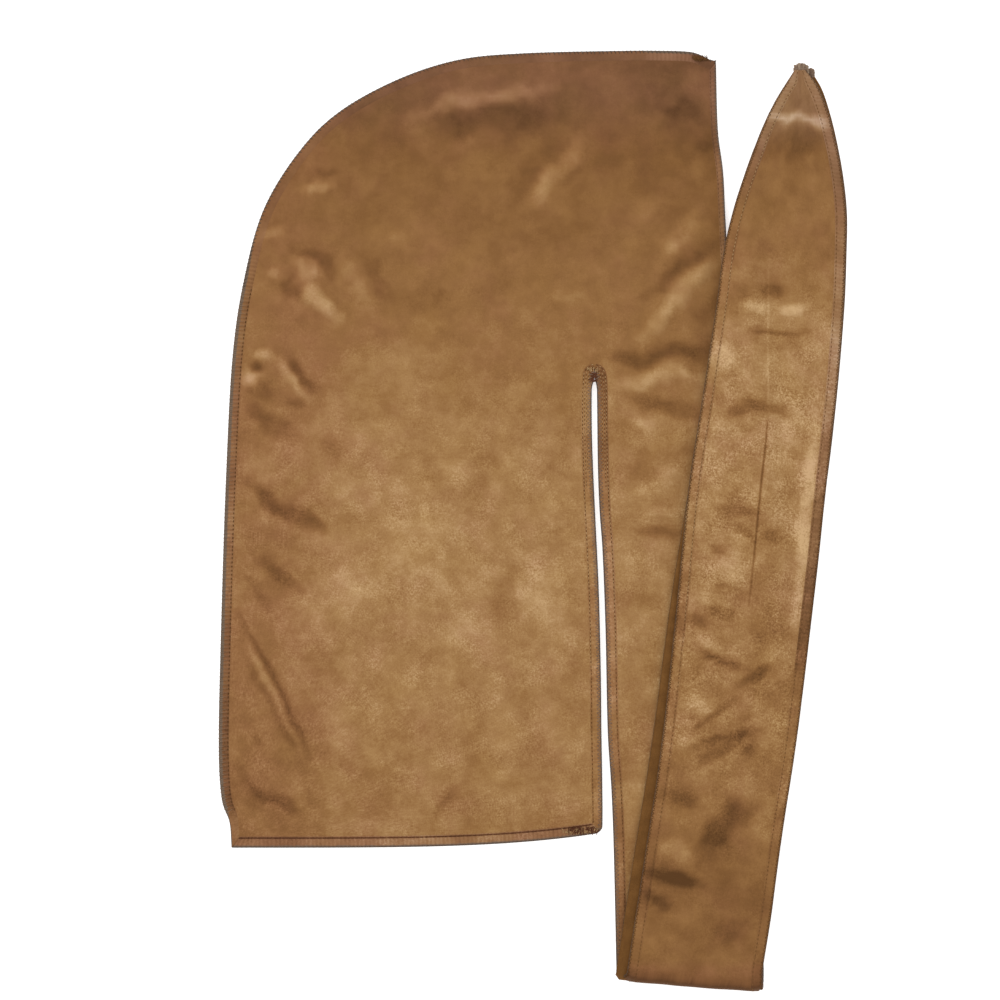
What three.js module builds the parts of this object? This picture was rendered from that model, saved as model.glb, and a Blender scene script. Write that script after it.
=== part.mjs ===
// A velvet durag, folded in half on its centre seam and laid flat, with both ties folded up beside it.
// Millimetres, +Z up. The sheet's pattern is drawn with x = 0 at the back of the cape and y = 0 at the
// bottom of the cape, and the whole is centred over its footprint at the end.
import * as THREE from 'three';

// Crown and cape
const crownReach = 303.6; // from the back of the cape to the brow
const bodyLength = 477; // from the top of the crown to the bottom of the cape
const capeWidth = 228.6; // across the bottom of the cape
const capeTopWidth = 223.2; // from the back to the slit, at the slit's top
const capeLift = 9; // how much higher the cape's bottom ends at the slit
const slitLength = 283;
const slitRadius = 0.9; // round end at the top of the slit

// Ties
const tieRootWidth = 83.5; // from the slit to the front edge, at the slit's top
const tieWidth = 83;
const tieDrop = 356.5; // from the slit's top down to the fold
const tieRise = 540; // from the fold up to the tip
const tieLean = 62.4; // how far the folded tie leans to the right on its way up
const tipLag = 3; // the inner tie ends this much lower than the outer one
const foldShift = 6.6; // the outer tie lies this far to the right of the inner one at the fold
const foldSlant = 7; // the fold's right end is this much lower than its left end
const foldPuff = 3; // how much the folded edge stands up above the flat stack
const puffLength = 55; // from the fold to where the stack lies flat again

// Cloth, hems and seam
const clothThickness = 1.2;
const hemWidth = 6.6;
const frontHemWidth = 4;
const hemThickness = 0.8;
const seamWidth = 5;
const seamThickness = 0.8;
const layerGap = 0.3; // clearance between pieces that lie on each other
const drapeStart = 10; // a folded tie bridges this far past the edge of the stack that it lies on
const drapeRun = 20; // and comes down to the surface over this length
const looseness = 0.4; // the outer tie stands up by this share of how far the inner one slips out under it
const foldHeight = 3.2; // height of the largest wrinkle
const tackLength = 2.2;
const tackThickness = 2;

// Back and top of the sewn edge, from the front corner round to the bottom of the cape:
// across is a share of crownReach from the back, down is a share of bodyLength from the top.
const sewnEdge = [
  { across: 0.978, down: 0.013 },
  { across: 0.925, down: 0.002 },
  { across: 0.79, down: 0.001 },
  { across: 0.6, down: 0.004 },
  { across: 0.472, down: 0.012 },
  { across: 0.354, down: 0.036 },
  { across: 0.239, down: 0.076 },
  { across: 0.16, down: 0.125 },
  { across: 0.089, down: 0.198 },
  { across: 0.05, down: 0.286 },
  { across: 0.027, down: 0.385 },
  { across: 0.014, down: 0.54 },
  { across: 0.005, down: 0.715 },
  { across: 0, down: 0.865 },
  { across: 0.005, down: 0.935 },
  { across: 0.019, down: 0.966 },
  { across: 0.023, down: 1 },
];
const shoulder = 0.43; // share of the sewn edge's length where the crown's top turns into its back

// Front edge of the crown, from the front corner to the brow: same shares as the sewn edge.
const frontEdge = [
  { down: 0.013, across: 0.978 },
  { down: 0.1, across: 0.982 },
  { down: 0.15, across: 0.992 },
  { down: 0.2, across: 0.996 },
  { down: 0.25, across: 1 },
];

// Tie from the slit's top to the fold: along is a share of tieDrop, the edges are shares of tieWidth
// from the edges at the slit's top.
const tieDown = [
  { along: 0, inner: 0, outer: 0 },
  { along: 0.3, inner: 0.055, outer: 0.07 },
  { along: 0.6, inner: 0.09, outer: 0.135 },
  { along: 1, inner: 0.15, outer: 0.225 },
];

// Folded tie from the fold to the tip: up is a share of tieRise, middle of tieLean, width of tieWidth.
// under is how far the inner tie lies to the left of the outer one, as a share of foldShift.
const tieUp = [
  { up: 0, middle: 0, width: 0.99, under: 1 },
  { up: 0.125, middle: 0.15, width: 0.965, under: 1 },
  { up: 0.245, middle: 0.305, width: 0.962, under: 0.92 },
  { up: 0.41, middle: 0.475, width: 0.983, under: 0.6 },
  { up: 0.54, middle: 0.595, width: 0.99, under: 0 },
  { up: 0.64, middle: 0.71, width: 0.962, under: -0.06 },
  { up: 0.74, middle: 0.81, width: 0.915, under: -0.1 },
  { up: 0.8, middle: 0.855, width: 0.875, under: -0.12 },
  { up: 0.845, middle: 0.9, width: 0.81, under: -0.14 },
  { up: 0.887, middle: 0.937, width: 0.694, under: -0.17 },
  { up: 0.93, middle: 0.97, width: 0.528, under: -0.25 },
  { up: 0.962, middle: 0.995, width: 0.369, under: -0.35 },
  { up: 0.985, middle: 1.01, width: 0.21, under: -0.55 },
  { up: 1, middle: 1, width: 0.065, under: -0.85 },
];

// Wrinkles pressed into the upper half's crown and cape. Their ends are shares of crownReach and
// bodyLength as on the sewn edge, spread is a share of crownReach and rise a share of foldHeight.
const bodyWrinkles = [
  { name: 'crown roll', across: 0.4, down: 0.08, toAcross: 0.68, toDown: 0.048, spread: 0.05, rise: 0.9 },
  { name: 'crown slope', across: 0.71, down: 0.12, toAcross: 0.6, toDown: 0.19, spread: 0.05, rise: 0.55 },
  { name: 'brow roll', across: 0.94, down: 0.21, toAcross: 0.86, toDown: 0.26, spread: 0.035, rise: 0.7 },
  { name: 'brow second', across: 0.97, down: 0.27, toAcross: 0.86, toDown: 0.34, spread: 0.035, rise: 0.6 },
  { name: 'shoulder top', across: 0.17, down: 0.165, toAcross: 0.23, toDown: 0.175, spread: 0.04, rise: 0.7 },
  { name: 'shoulder roll', across: 0.14, down: 0.285, toAcross: 0.24, toDown: 0.34, spread: 0.04, rise: 1 },
  { name: 'nape roll', across: 0.06, down: 0.38, toAcross: 0.1, toDown: 0.42, spread: 0.04, rise: 0.6 },
  { name: 'root upper', across: 0.75, down: 0.41, toAcross: 0.93, toDown: 0.42, spread: 0.035, rise: 0.5 },
  { name: 'root lower', across: 0.8, down: 0.47, toAcross: 0.88, toDown: 0.48, spread: 0.035, rise: 0.35 },
  { name: 'back upper', across: 0.07, down: 0.52, toAcross: 0.2, toDown: 0.6, spread: 0.05, rise: 0.5 },
  { name: 'back middle', across: 0.08, down: 0.65, toAcross: 0.16, toDown: 0.7, spread: 0.045, rise: 0.6 },
  { name: 'back ridge', across: 0.09, down: 0.74, toAcross: 0.17, toDown: 0.86, spread: 0.04, rise: 1 },
  { name: 'back foot', across: 0.06, down: 0.9, toAcross: 0.12, toDown: 0.95, spread: 0.04, rise: 0.6 },
  { name: 'cape drag', across: 0.43, down: 0.97, toAcross: 0.53, toDown: 0.91, spread: 0.04, rise: 0.35 },
];

// Wrinkles across the folded tie that shows: up is a share of tieRise, side runs from 0 at the tie's
// left edge to 1 at its right edge, spread is a share of tieWidth.
const tieWrinkles = [
  { up: 0.085, side: 0.5, toUp: 0.1, toSide: 0.15, spread: 0.12, rise: 0.35 },
  { up: 0.19, side: 0.35, toUp: 0.2, toSide: 0.95, spread: 0.13, rise: 0.4 },
  { up: 0.3, side: 0.2, toUp: 0.28, toSide: 0.75, spread: 0.12, rise: 0.45 },
  { up: 0.38, side: 0.3, toUp: 0.41, toSide: 0.75, spread: 0.12, rise: 0.5 },
  { up: 0.5, side: 0.2, toUp: 0.51, toSide: 0.5, spread: 0.12, rise: 0.45 },
  { up: 0.62, side: 0.25, toUp: 0.64, toSide: 0.8, spread: 0.12, rise: 0.4 },
  { up: 0.725, side: 0.15, toUp: 0.74, toSide: 0.75, spread: 0.12, rise: 0.6 },
  { up: 0.95, side: 0.2, toUp: 0.94, toSide: 0.8, spread: 0.2, rise: 0.4 },
];

// How finely the cloth is divided
const capeAcross = 11;
const slitTurn = 4;
const tieAcross = 6;
const crownDown = 12;
const capeDown = 14;
const tieDownRows = 15;
const foldRows = 8;
const tieUpRows = 24;

// Heights of the middle of each layer of cloth, from the surface up
const hemStep = clothThickness / 2 + layerGap + hemThickness;
const clothStep = clothThickness + layerGap;
const restLevel = clothThickness / 2;
const lowest = hemStep;
const stackLevel = lowest + clothStep + 2 * hemStep + layerGap;

const slitTop = slitLength;
const slitCentre = capeTopWidth + slitRadius;
const tieRootOuter = slitCentre + slitRadius + tieRootWidth;

const mix = (a, b, t) => a + (b - a) * t;
const smooth = (t) => {
  const s = Math.min(Math.max(t, 0), 1);
  return s * s * (3 - 2 * s);
};

// Reads a column of a table at a place between its rows, with a curve through the rows.
function read(rows, at, column, where) {
  const x = rows.map((row) => row[at]);
  const y = rows.map((row) => row[column]);
  const last = x.length - 1;
  const slope = x.map((value, i) => {
    const a = Math.max(i - 1, 0);
    const b = Math.min(i + 1, last);
    return (y[b] - y[a]) / (x[b] - x[a]);
  });
  let i = 0;
  while (i < last - 1 && where > x[i + 1]) i += 1;
  const span = x[i + 1] - x[i];
  const t = Math.min(Math.max((where - x[i]) / span, 0), 1);
  const t2 = t * t;
  const t3 = t2 * t;
  return (2 * t3 - 3 * t2 + 1) * y[i] + (t3 - 2 * t2 + t) * span * slope[i]
    + (3 * t2 - 2 * t3) * y[i + 1] + (t3 - t2) * span * slope[i + 1];
}

const sheetPoint = (row) => new THREE.Vector2(row.across * crownReach, (1 - row.down) * bodyLength);

const sewnCurve = new THREE.SplineCurve(sewnEdge.map(sheetPoint));
sewnCurve.arcLengthDivisions = 800;

// Share of the sewn edge's length where it passes a height on its way down the back.
function sewnShareAt(height) {
  let above = shoulder;
  let below = 1;
  for (let step = 0; step < 30; step += 1) {
    const middle = (above + below) / 2;
    if (sewnCurve.getPointAt(middle).y > height) above = middle;
    else below = middle;
  }
  return above;
}

const range = (count, make) => Array.from({ length: count + 1 }, (unused, i) => make(i / count, i));

// Right-hand edge of the crown and, below the slit's top, of the tie that goes down.
function outerEdge(y) {
  const brow = frontEdge[frontEdge.length - 1];
  const browY = (1 - brow.down) * bodyLength;
  const browX = brow.across * crownReach;
  if (y >= browY) return read(frontEdge, 'down', 'across', 1 - y / bodyLength) * crownReach;
  if (y >= slitTop) return mix(tieRootOuter, browX, (y - slitTop) / (browY - slitTop));
  return tieRootOuter + tieWidth * read(tieDown, 'along', 'outer', (slitTop - y) / tieDrop);
}

const innerEdge = (y) => slitCentre + slitRadius
  + tieWidth * read(tieDown, 'along', 'inner', (slitTop - y) / tieDrop);

const foldY = slitTop - tieDrop;
const foldLeft = innerEdge(foldY);
const foldMiddle = foldLeft + foldShift + 0.5 * tieWidth;

// How far the inner tie lies to the left of the outer one at a share of the rise.
const underShift = (up) => foldShift * read(tieUp, 'up', 'under', up);

// Ends of a row across a folded tie at a share of its rise. inner is 0 on the outer tie and 1 on the
// inner one. The first row of both lies on the fold's slanted line.
function upEnds(up, inner) {
  const width = (at) => tieWidth * read(tieUp, 'up', 'width', at);
  const middle = (at) => foldMiddle + tieLean * read(tieUp, 'up', 'middle', at) - inner * underShift(at);
  const slant = foldSlant * Math.min(width(up) / tieWidth, 1) * (1 - smooth((up - 0.9) * 10));
  const lower = up - slant / tieRise;
  const y = foldY + (tieRise - inner * tipLag) * up - (1 - inner) * foldSlant * (foldShift / tieWidth);
  return [
    new THREE.Vector2(middle(up) - width(up) / 2, y),
    new THREE.Vector2(middle(lower) + width(lower) / 2, y - slant),
  ];
}

// Point at the inside corner of two offset lines, or beside a nearly straight run.
function inset(before, at, after, widthBefore, widthAfter) {
  const a = at.clone().sub(before).normalize();
  const b = after.clone().sub(at).normalize();
  const na = new THREE.Vector2(-a.y, a.x);
  const nb = new THREE.Vector2(-b.y, b.x);
  const turn = na.x * nb.y - na.y * nb.x;
  if (Math.abs(turn) < 0.3) {
    const n = na.add(nb).normalize();
    return at.clone().addScaledVector(n, (widthBefore + widthAfter) / 2);
  }
  return new THREE.Vector2(
    at.x + (widthBefore * nb.y - widthAfter * na.y) / turn,
    at.y + (widthAfter * na.x - widthBefore * nb.x) / turn,
  );
}

// Distance of each point along a line of points, as a share of its length.
function shares(line) {
  const run = [0];
  for (let i = 1; i < line.length; i += 1) run.push(run[i - 1] + line[i].distanceTo(line[i - 1]));
  return run.map((value) => value / run[run.length - 1]);
}

// Rows of points that fill the area between four lines.
function fill(top, bottom, left, right) {
  const topShare = shares(top);
  const bottomShare = shares(bottom);
  const leftShare = shares(left);
  const rightShare = shares(right);
  const m = top.length - 1;
  const n = left.length - 1;
  return range(n, (t, j) => range(m, (s, i) => {
    if (j === 0) return top[i];
    if (j === n) return bottom[i];
    if (i === 0) return left[j];
    if (i === m) return right[j];
    const u = mix(topShare[i], bottomShare[i], t);
    const v = mix(leftShare[j], rightShare[j], s);
    const across = left[j].clone().lerp(right[j], u);
    const down = top[i].clone().lerp(bottom[i], v);
    const corners = top[0].clone().lerp(top[m], u).lerp(bottom[0].clone().lerp(bottom[m], u), v);
    return across.add(down).sub(corners);
  }));
}

// The flat pattern of crown and cape, shared by both halves. Each edge has an outer line and, one hem
// or seam further in, an inner line; both run the same way and have the same number of points.
function drawBody() {
  const columns = capeAcross + slitTurn + tieAcross;
  const sideShare = sewnShareAt(slitTop);
  const sewn = [
    ...range(columns, (t) => sewnCurve.getPointAt(mix(0, shoulder, t))),
    ...range(crownDown, (t) => sewnCurve.getPointAt(mix(shoulder, sideShare, t))).slice(1),
    ...range(capeDown, (t) => sewnCurve.getPointAt(mix(sideShare, 1, t))).slice(1),
  ];
  const backFoot = sewn[sewn.length - 1];
  const hem = range(capeAcross, (t) => new THREE.Vector2(
    mix(backFoot.x, capeWidth, t),
    mix(backFoot.y, 0, smooth(4 * t)) + capeLift * t ** 3,
  ));
  const slitFoot = hem[hem.length - 1];
  const slitSide = range(capeDown, (t) => new THREE.Vector2(
    mix(slitFoot.x, slitCentre - slitRadius, smooth(t) * 0.35 + t * 0.65),
    mix(slitFoot.y, slitTop, t),
  ));
  const turn = (radius) => range(slitTurn, (t) => new THREE.Vector2(
    slitCentre - radius * Math.cos(Math.PI * t),
    slitTop + radius * Math.sin(Math.PI * t),
  ));
  const front = range(crownDown, (t) => {
    const y = mix(slitTop, sewn[0].y, t);
    return new THREE.Vector2(outerEdge(y), y);
  });

  const insetLine = (line, before, after, width, widthBefore, widthAfter) => line.map((at, i) => inset(
    line[i - 1] ?? before,
    at,
    line[i + 1] ?? after,
    i === 0 ? widthBefore : width,
    i === line.length - 1 ? widthAfter : width,
  ));
  const frontBelow = new THREE.Vector2(2 * front[0].x - front[1].x, 2 * front[0].y - front[1].y);
  const sewnIn = insetLine(sewn, front[crownDown - 1], hem[1], seamWidth, frontHemWidth, hemWidth);
  const hemIn = insetLine(hem, sewn[sewn.length - 2], slitSide[1], hemWidth, seamWidth, hemWidth);
  const slitFirst = turn(slitRadius)[1];
  const slitIn = insetLine(slitSide, hem[capeAcross - 1], slitFirst, hemWidth, hemWidth, hemWidth);
  const frontIn = insetLine(front, frontBelow, sewn[1], frontHemWidth, frontHemWidth, seamWidth);
  const turnIn = turn(slitRadius + hemWidth);
  slitIn[capeDown] = turnIn[0];

  const backRow = columns + crownDown;
  const rootRight = frontIn[0];
  const slitRow = [
    ...range(capeAcross, (t) => sewnIn[backRow].clone().lerp(turnIn[0], t)),
    ...turnIn.slice(1),
    ...range(tieAcross, (t) => turnIn[slitTurn].clone().lerp(rootRight, t)).slice(1),
  ];
  const crown = fill(
    sewnIn.slice(0, columns + 1).reverse(),
    slitRow,
    sewnIn.slice(columns, backRow + 1),
    frontIn.slice().reverse(),
  );
  const cape = fill(
    slitRow.slice(0, capeAcross + 1),
    hemIn,
    sewnIn.slice(backRow),
    slitIn.slice().reverse(),
  );
  const outer = { sewn, hem, slitSide, turn: turn(slitRadius), front };
  return { ...outer, sewnIn, hemIn, slitIn, turnIn, frontIn, crown, cape };
}

const body = drawBody();

// Height that the wrinkles add at a place on the crown or cape.
function bodyRise(x, y) {
  return bodyWrinkles.reduce((height, w) => {
    const a = sheetPoint(w);
    const b = sheetPoint({ across: w.toAcross, down: w.toDown });
    const line = b.clone().sub(a);
    const from = new THREE.Vector2(x, y).sub(a);
    const t = Math.min(Math.max(from.dot(line) / line.lengthSq(), 0), 1);
    const away = from.addScaledVector(line, -t).length() / (w.spread * crownReach);
    return Math.max(height, foldHeight * w.rise * Math.exp(-away * away));
  }, 0);
}

// Height that the wrinkles add on the folded tie.
function tieRiseAt(up, side) {
  return tieWrinkles.reduce((height, w) => {
    const spread = w.spread * tieWidth;
    const lengthwise = (value) => value * tieRise;
    const crosswise = (value) => value * tieWidth;
    const a = new THREE.Vector2(crosswise(w.side), lengthwise(w.up));
    const line = new THREE.Vector2(crosswise(w.toSide), lengthwise(w.toUp)).sub(a);
    const from = new THREE.Vector2(crosswise(side), lengthwise(up)).sub(a);
    const t = Math.min(Math.max(from.dot(line) / line.lengthSq(), 0), 1);
    const away = from.addScaledVector(line, -t).length() / spread;
    return Math.max(height, foldHeight * w.rise * Math.exp(-away * away));
  }, 0);
}

// Height of a folded tie's middle over the surface: it lies on the stack, then drapes to the surface.
// at is where the inner tie lies, whose bends the outer tie repeats.
function upLevel(at, layer) {
  const cover = 1 - smooth((at.x - outerEdge(at.y) - drapeStart) / drapeRun);
  const puff = foldPuff * (1 - smooth((at.y - foldY) / puffLength));
  return mix(layer.onSurface, layer.onStack, cover) + puff * cover;
}

// The rows of one tie from the slit's top to its tip. Each row holds points from the inner edge to the
// outer edge, with the hems' inner lines as the second point and the last but one.
function drawTie(layer) {
  const across = (left, right, hem, rightHem) => {
    const width = left.distanceTo(right);
    const most = 0.38 * width;
    const a = Math.min(hem, most) / width;
    const b = Math.min(rightHem, most) / width;
    return [0, ...range(tieAcross, (t) => mix(a, 1 - b, t)), 1].map((t) => left.clone().lerp(right, t));
  };
  const isField = (i) => i > 1 && i < tieAcross + 1;
  const rows = [];
  for (let j = 1; j <= tieDownRows; j += 1) {
    const t = j / tieDownRows;
    const y = slitTop - tieDrop * t;
    const lower = y - foldSlant * t;
    const outerHem = mix(frontHemWidth, hemWidth, smooth(3 * t));
    const left = new THREE.Vector2(innerEdge(y), y);
    const right = new THREE.Vector2(outerEdge(lower), lower);
    const line = across(left, right, hemWidth, outerHem);
    rows.push(line.map((p, i) => new THREE.Vector3(p.x, p.y, isField(i) ? layer.field : layer.edge)));
  }
  const down = rows[rows.length - 1];
  const upRow = (up) => {
    const under = across(...upEnds(up, 1), hemWidth, hemWidth);
    const slack = looseness * Math.max(-underShift(up), 0) * (1 - layer.inner);
    return across(...upEnds(up, layer.inner), hemWidth, hemWidth).map((p, i) => {
      const rise = isField(i) ? layer.tieWrinkled * tieRiseAt(up, (i - 1) / tieAcross) : 0;
      return new THREE.Vector3(p.x, p.y, upLevel(under[i], layer) + slack + rise);
    });
  };
  const up = upRow(0);
  const outward = new THREE.Vector2(-foldSlant, -tieWidth).normalize();
  for (let k = 1; k < foldRows; k += 1) {
    const angle = (Math.PI * k) / foldRows;
    const share = (1 - Math.cos(angle)) / 2;
    rows.push(down.map((p, i) => {
      const reach = ((up[i].z - p.z) / 2) * Math.sin(angle);
      const q = p.clone().lerp(up[i], share);
      return new THREE.Vector3(q.x + outward.x * reach, q.y + outward.y * reach, q.z);
    }));
  }
  rows.push(up);
  const spacing = (t) => t * (1.25 - 0.25 * t);
  for (let j = 1; j <= tieUpRows; j += 1) rows.push(upRow(spacing(j / tieUpRows)));
  return rows;
}

// A closed wall of cloth, from a sheet of points, their normals and the faces between them.
// low and high are the heights of its two sides above the sheet, along the normals.
function wall(points, normals, faces, low, high) {
  const used = [...new Set(faces.flat())];
  const place = new Map(used.map((index, i) => [index, i]));
  const count = used.length;
  const positions = [];
  for (const side of [high, low]) {
    for (const index of used) {
      const p = points[index].clone().addScaledVector(normals[index], side);
      positions.push(p.x, p.y, p.z);
    }
  }
  const triangles = [];
  const quad = (a, b, c, d) => triangles.push(a, b, c, a, c, d);
  const edges = new Set();
  for (const face of faces) {
    const [a, b, c, d] = face.map((index) => place.get(index));
    quad(a, b, c, d);
    quad(a + count, d + count, c + count, b + count);
    for (const [from, to] of [[a, b], [b, c], [c, d], [d, a]]) edges.add(`${from} ${to}`);
  }
  for (const edge of edges) {
    const [from, to] = edge.split(' ').map(Number);
    if (!edges.has(`${to} ${from}`)) quad(from, from + count, to + count, to);
  }
  return toGeometry(positions, triangles);
}

function toGeometry(positions, triangles) {
  const geometry = new THREE.BufferGeometry();
  geometry.setAttribute('position', new THREE.Float32BufferAttribute(positions, 3));
  geometry.setIndex(triangles);
  geometry.computeVertexNormals();
  return geometry;
}

// Normals of a sheet at its points, averaged over the faces that meet there.
function sheetNormals(points, faces) {
  const normals = points.map(() => new THREE.Vector3());
  for (const [a, b, c, d] of faces) {
    const n = points[c].clone().sub(points[a]).cross(points[d].clone().sub(points[b]));
    for (const index of [a, b, c, d]) normals[index].add(n);
  }
  return normals.map((n) => n.normalize());
}

// One half of the durag: its cloth as a sheet of points and faces, with the chains of outer and inner
// points that its hems follow.
function drawHalf(layer) {
  const points = [];
  const faces = [];
  const add = (p, z) => points.push(new THREE.Vector3(p.x, p.y, z)) - 1;
  const edgeChain = (line) => line.map((p) => add(p, layer.edge));
  const grid = (rows) => {
    for (let j = 1; j < rows.length; j += 1) {
      for (let i = 1; i < rows[j].length; i += 1) {
        faces.push([rows[j - 1][i - 1], rows[j][i - 1], rows[j][i], rows[j - 1][i]]);
      }
    }
  };

  const sewn = { outer: edgeChain(body.sewn), inner: edgeChain(body.sewnIn) };
  const goOn = (from, outer, inner) => ({
    outer: [from.outer[from.outer.length - 1], ...edgeChain(outer.slice(1))],
    inner: [from.inner[from.inner.length - 1], ...edgeChain(inner.slice(1))],
  });
  const hem = goOn(sewn, body.hem, body.hemIn);
  const slit = goOn(hem, body.slitSide, body.slitIn);
  const turn = goOn(slit, body.turn, body.turnIn);
  const front = {
    outer: [...edgeChain(body.front.slice(0, -1)), sewn.outer[0]],
    inner: [...edgeChain(body.frontIn.slice(0, -1)), sewn.inner[0]],
  };

  const field = (p, rise) => add(p, layer.field + layer.bodyWrinkled * rise);
  const columns = capeAcross + slitTurn + tieAcross;
  const backRow = columns + crownDown;
  const crown = body.crown.map((line, j) => line.map((p, i) => {
    if (j === 0) return sewn.inner[columns - i];
    if (i === 0) return sewn.inner[columns + j];
    if (i === columns) return front.inner[crownDown - j];
    if (j === crownDown && i >= capeAcross && i <= capeAcross + slitTurn) return turn.inner[i - capeAcross];
    return field(p, bodyRise(p.x, p.y));
  }));
  const rootRow = [turn.outer[slitTurn], ...crown[crownDown].slice(capeAcross + slitTurn), front.outer[0]];
  const cape = body.cape.map((line, j) => line.map((p, i) => {
    if (j === 0) return crown[crownDown][i];
    if (i === 0) return sewn.inner[backRow + j];
    if (j === capeDown) return hem.inner[i];
    if (i === capeAcross) return slit.inner[capeDown - j];
    return field(p, bodyRise(p.x, p.y));
  }));
  grid(crown);
  grid(cape);

  const tie = [rootRow, ...drawTie(layer).map((row) => row.map((p) => add(p, p.z)))];
  grid(tie);

  const last = tieAcross + 2;
  const along = (column) => tie.map((row) => row[column]);
  const slitHem = {
    outer: [...slit.outer, ...turn.outer.slice(1), ...along(0).slice(1)],
    inner: [...slit.inner, ...turn.inner.slice(1), ...along(1).slice(1)],
  };
  const frontHem = {
    outer: [...along(last).slice(1).reverse(), ...front.outer],
    inner: [...along(last - 1).slice(1).reverse(), ...front.inner],
  };
  const ring = (chain) => {
    for (let k = 1; k < chain.outer.length; k += 1) {
      faces.push([chain.outer[k - 1], chain.outer[k], chain.inner[k], chain.inner[k - 1]]);
    }
  };
  ring(sewn);
  ring(hem);
  ring(slit);
  ring(turn);
  ring(front);

  return {
    points,
    faces,
    normals: sheetNormals(points, faces),
    sewn,
    hems: { front_hem: frontHem, slit_hem: slitHem, cape_hem: hem },
    tip: tie[tie.length - 1],
  };
}

// A hem: the cloth's edge band, repeated one hem further out, and ended short of the next band.
function makeHem(half, chain, side) {
  const count = chain.outer.length;
  const bandPoints = [];
  const bandNormals = [];
  for (const line of [chain.outer, chain.inner]) {
    line.forEach((index, k) => {
      const isEnd = k === 0 || k === count - 1;
      const neighbour = half.points[line[k === 0 ? 1 : k - 1]];
      const step = neighbour.clone().sub(half.points[index]).setLength(isEnd ? layerGap : 0);
      bandPoints.push(half.points[index].clone().add(step));
      bandNormals.push(half.normals[index]);
    });
  }
  const faces = [];
  for (let k = 1; k < count; k += 1) faces.push([k - 1, k, k + count, k + count - 1]);
  const near = side * (clothThickness / 2 + layerGap);
  const far = near + side * hemThickness;
  return wall(bandPoints, bandNormals, faces, Math.min(near, far), Math.max(near, far));
}

// The centre seam: a channel swept along the sewn edge that takes both halves' edges between its lips.
function makeSeam(lower, upper) {
  const count = lower.sewn.outer.length;
  const lip = clothThickness / 2 + layerGap;
  const positions = [];
  const triangles = [];
  for (let k = 0; k < count; k += 1) {
    const edge = lower.points[lower.sewn.outer[k]];
    const inner = lower.points[lower.sewn.inner[k]];
    const outward = edge.clone().sub(inner).normalize();
    const cornered = edge.distanceTo(inner) / seamWidth;
    const inside = edge.clone().addScaledVector(outward, layerGap * cornered);
    const outside = edge.clone().addScaledVector(outward, (layerGap + seamThickness) * cornered);
    const floor = edge.z - lip;
    const roof = upper.points[upper.sewn.outer[k]].z + lip;
    const isEnd = k === 0 || k === count - 1;
    const neighbour = lower.points[lower.sewn.outer[k === 0 ? 1 : k - 1]];
    const shift = neighbour.clone().sub(edge).setLength(isEnd ? layerGap : 0);
    const section = [
      [outside, floor - seamThickness],
      [inner, floor - seamThickness],
      [inner, floor],
      [inside, floor],
      [inside, roof],
      [inner, roof],
      [inner, roof + seamThickness],
      [outside, roof + seamThickness],
    ];
    for (const [p, z] of section) positions.push(p.x + shift.x, p.y + shift.y, z);
  }
  const sides = 8;
  const caps = [[0, 1, 2], [0, 2, 3], [0, 3, 4], [0, 4, 7], [4, 5, 6], [4, 6, 7]];
  for (let k = 1; k < count; k += 1) {
    for (let s = 0; s < sides; s += 1) {
      const a = (k - 1) * sides + s;
      const b = (k - 1) * sides + ((s + 1) % sides);
      triangles.push(a, b + sides, a + sides, a, b, b + sides);
    }
  }
  const end = (count - 1) * sides;
  for (const [a, b, c] of caps) {
    triangles.push(a, c, b);
    triangles.push(end + a, end + b, end + c);
  }
  return toGeometry(positions, triangles);
}

// Bunched thread across the end of a tie.
function makeTack(half) {
  const left = half.points[half.tip[0]];
  const right = half.points[half.tip[half.tip.length - 1]];
  const tack = new THREE.SphereGeometry(1, 10, 6);
  tack.scale(left.distanceTo(right) / 2, tackLength, tackThickness / 2);
  tack.rotateZ(Math.atan2(right.y - left.y, right.x - left.x));
  const middle = left.clone().add(right).multiplyScalar(0.5);
  tack.translate(middle.x, middle.y + tackLength + layerGap, Math.max(middle.z, tackThickness / 2));
  return tack;
}

const lowerLayer = {
  edge: lowest,
  field: restLevel,
  onSurface: lowest + clothStep,
  onStack: stackLevel + clothStep,
  inner: 0,
  bodyWrinkled: 0,
  tieWrinkled: 1,
};
const upperLayer = {
  edge: lowest + clothStep,
  field: restLevel + clothStep,
  onSurface: lowest,
  onStack: stackLevel,
  inner: 1,
  bodyWrinkled: 1,
  tieWrinkled: 0,
};

const velvet = () => new THREE.MeshStandardMaterial({ color: 0xa0764b, roughness: 0.75, metalness: 0 });
const thread = () => new THREE.MeshStandardMaterial({ color: 0x7a4a30, roughness: 0.9, metalness: 0 });

const durag = new THREE.Group();

function place(name, geometry, material) {
  const mesh = new THREE.Mesh(geometry, material);
  mesh.name = name;
  durag.add(mesh);
}

const halves = [
  { name: 'lower', half: drawHalf(lowerLayer), side: -1 },
  { name: 'upper', half: drawHalf(upperLayer), side: 1 },
];
for (const { name, half, side } of halves) {
  const cloth = wall(half.points, half.normals, half.faces, -clothThickness / 2, clothThickness / 2);
  place(`${name}_half`, cloth, velvet());
  for (const [hem, chain] of Object.entries(half.hems)) {
    place(`${name}_${hem}`, makeHem(half, chain, side), thread());
  }
  place(`${name}_tip_tack`, makeTack(half), thread());
}
place('centre_seam', makeSeam(halves[0].half, halves[1].half), thread());

// The object stands with the middle of its footprint over the origin.
const box = new THREE.Box3().setFromObject(durag, true);
const middle = box.getCenter(new THREE.Vector3());
durag.position.set(-middle.x, -middle.y, -box.min.z);
durag.updateMatrixWorld(true);

export default durag;
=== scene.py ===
import math

import bmesh
import bpy
import numpy as np
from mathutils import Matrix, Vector, noise


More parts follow.
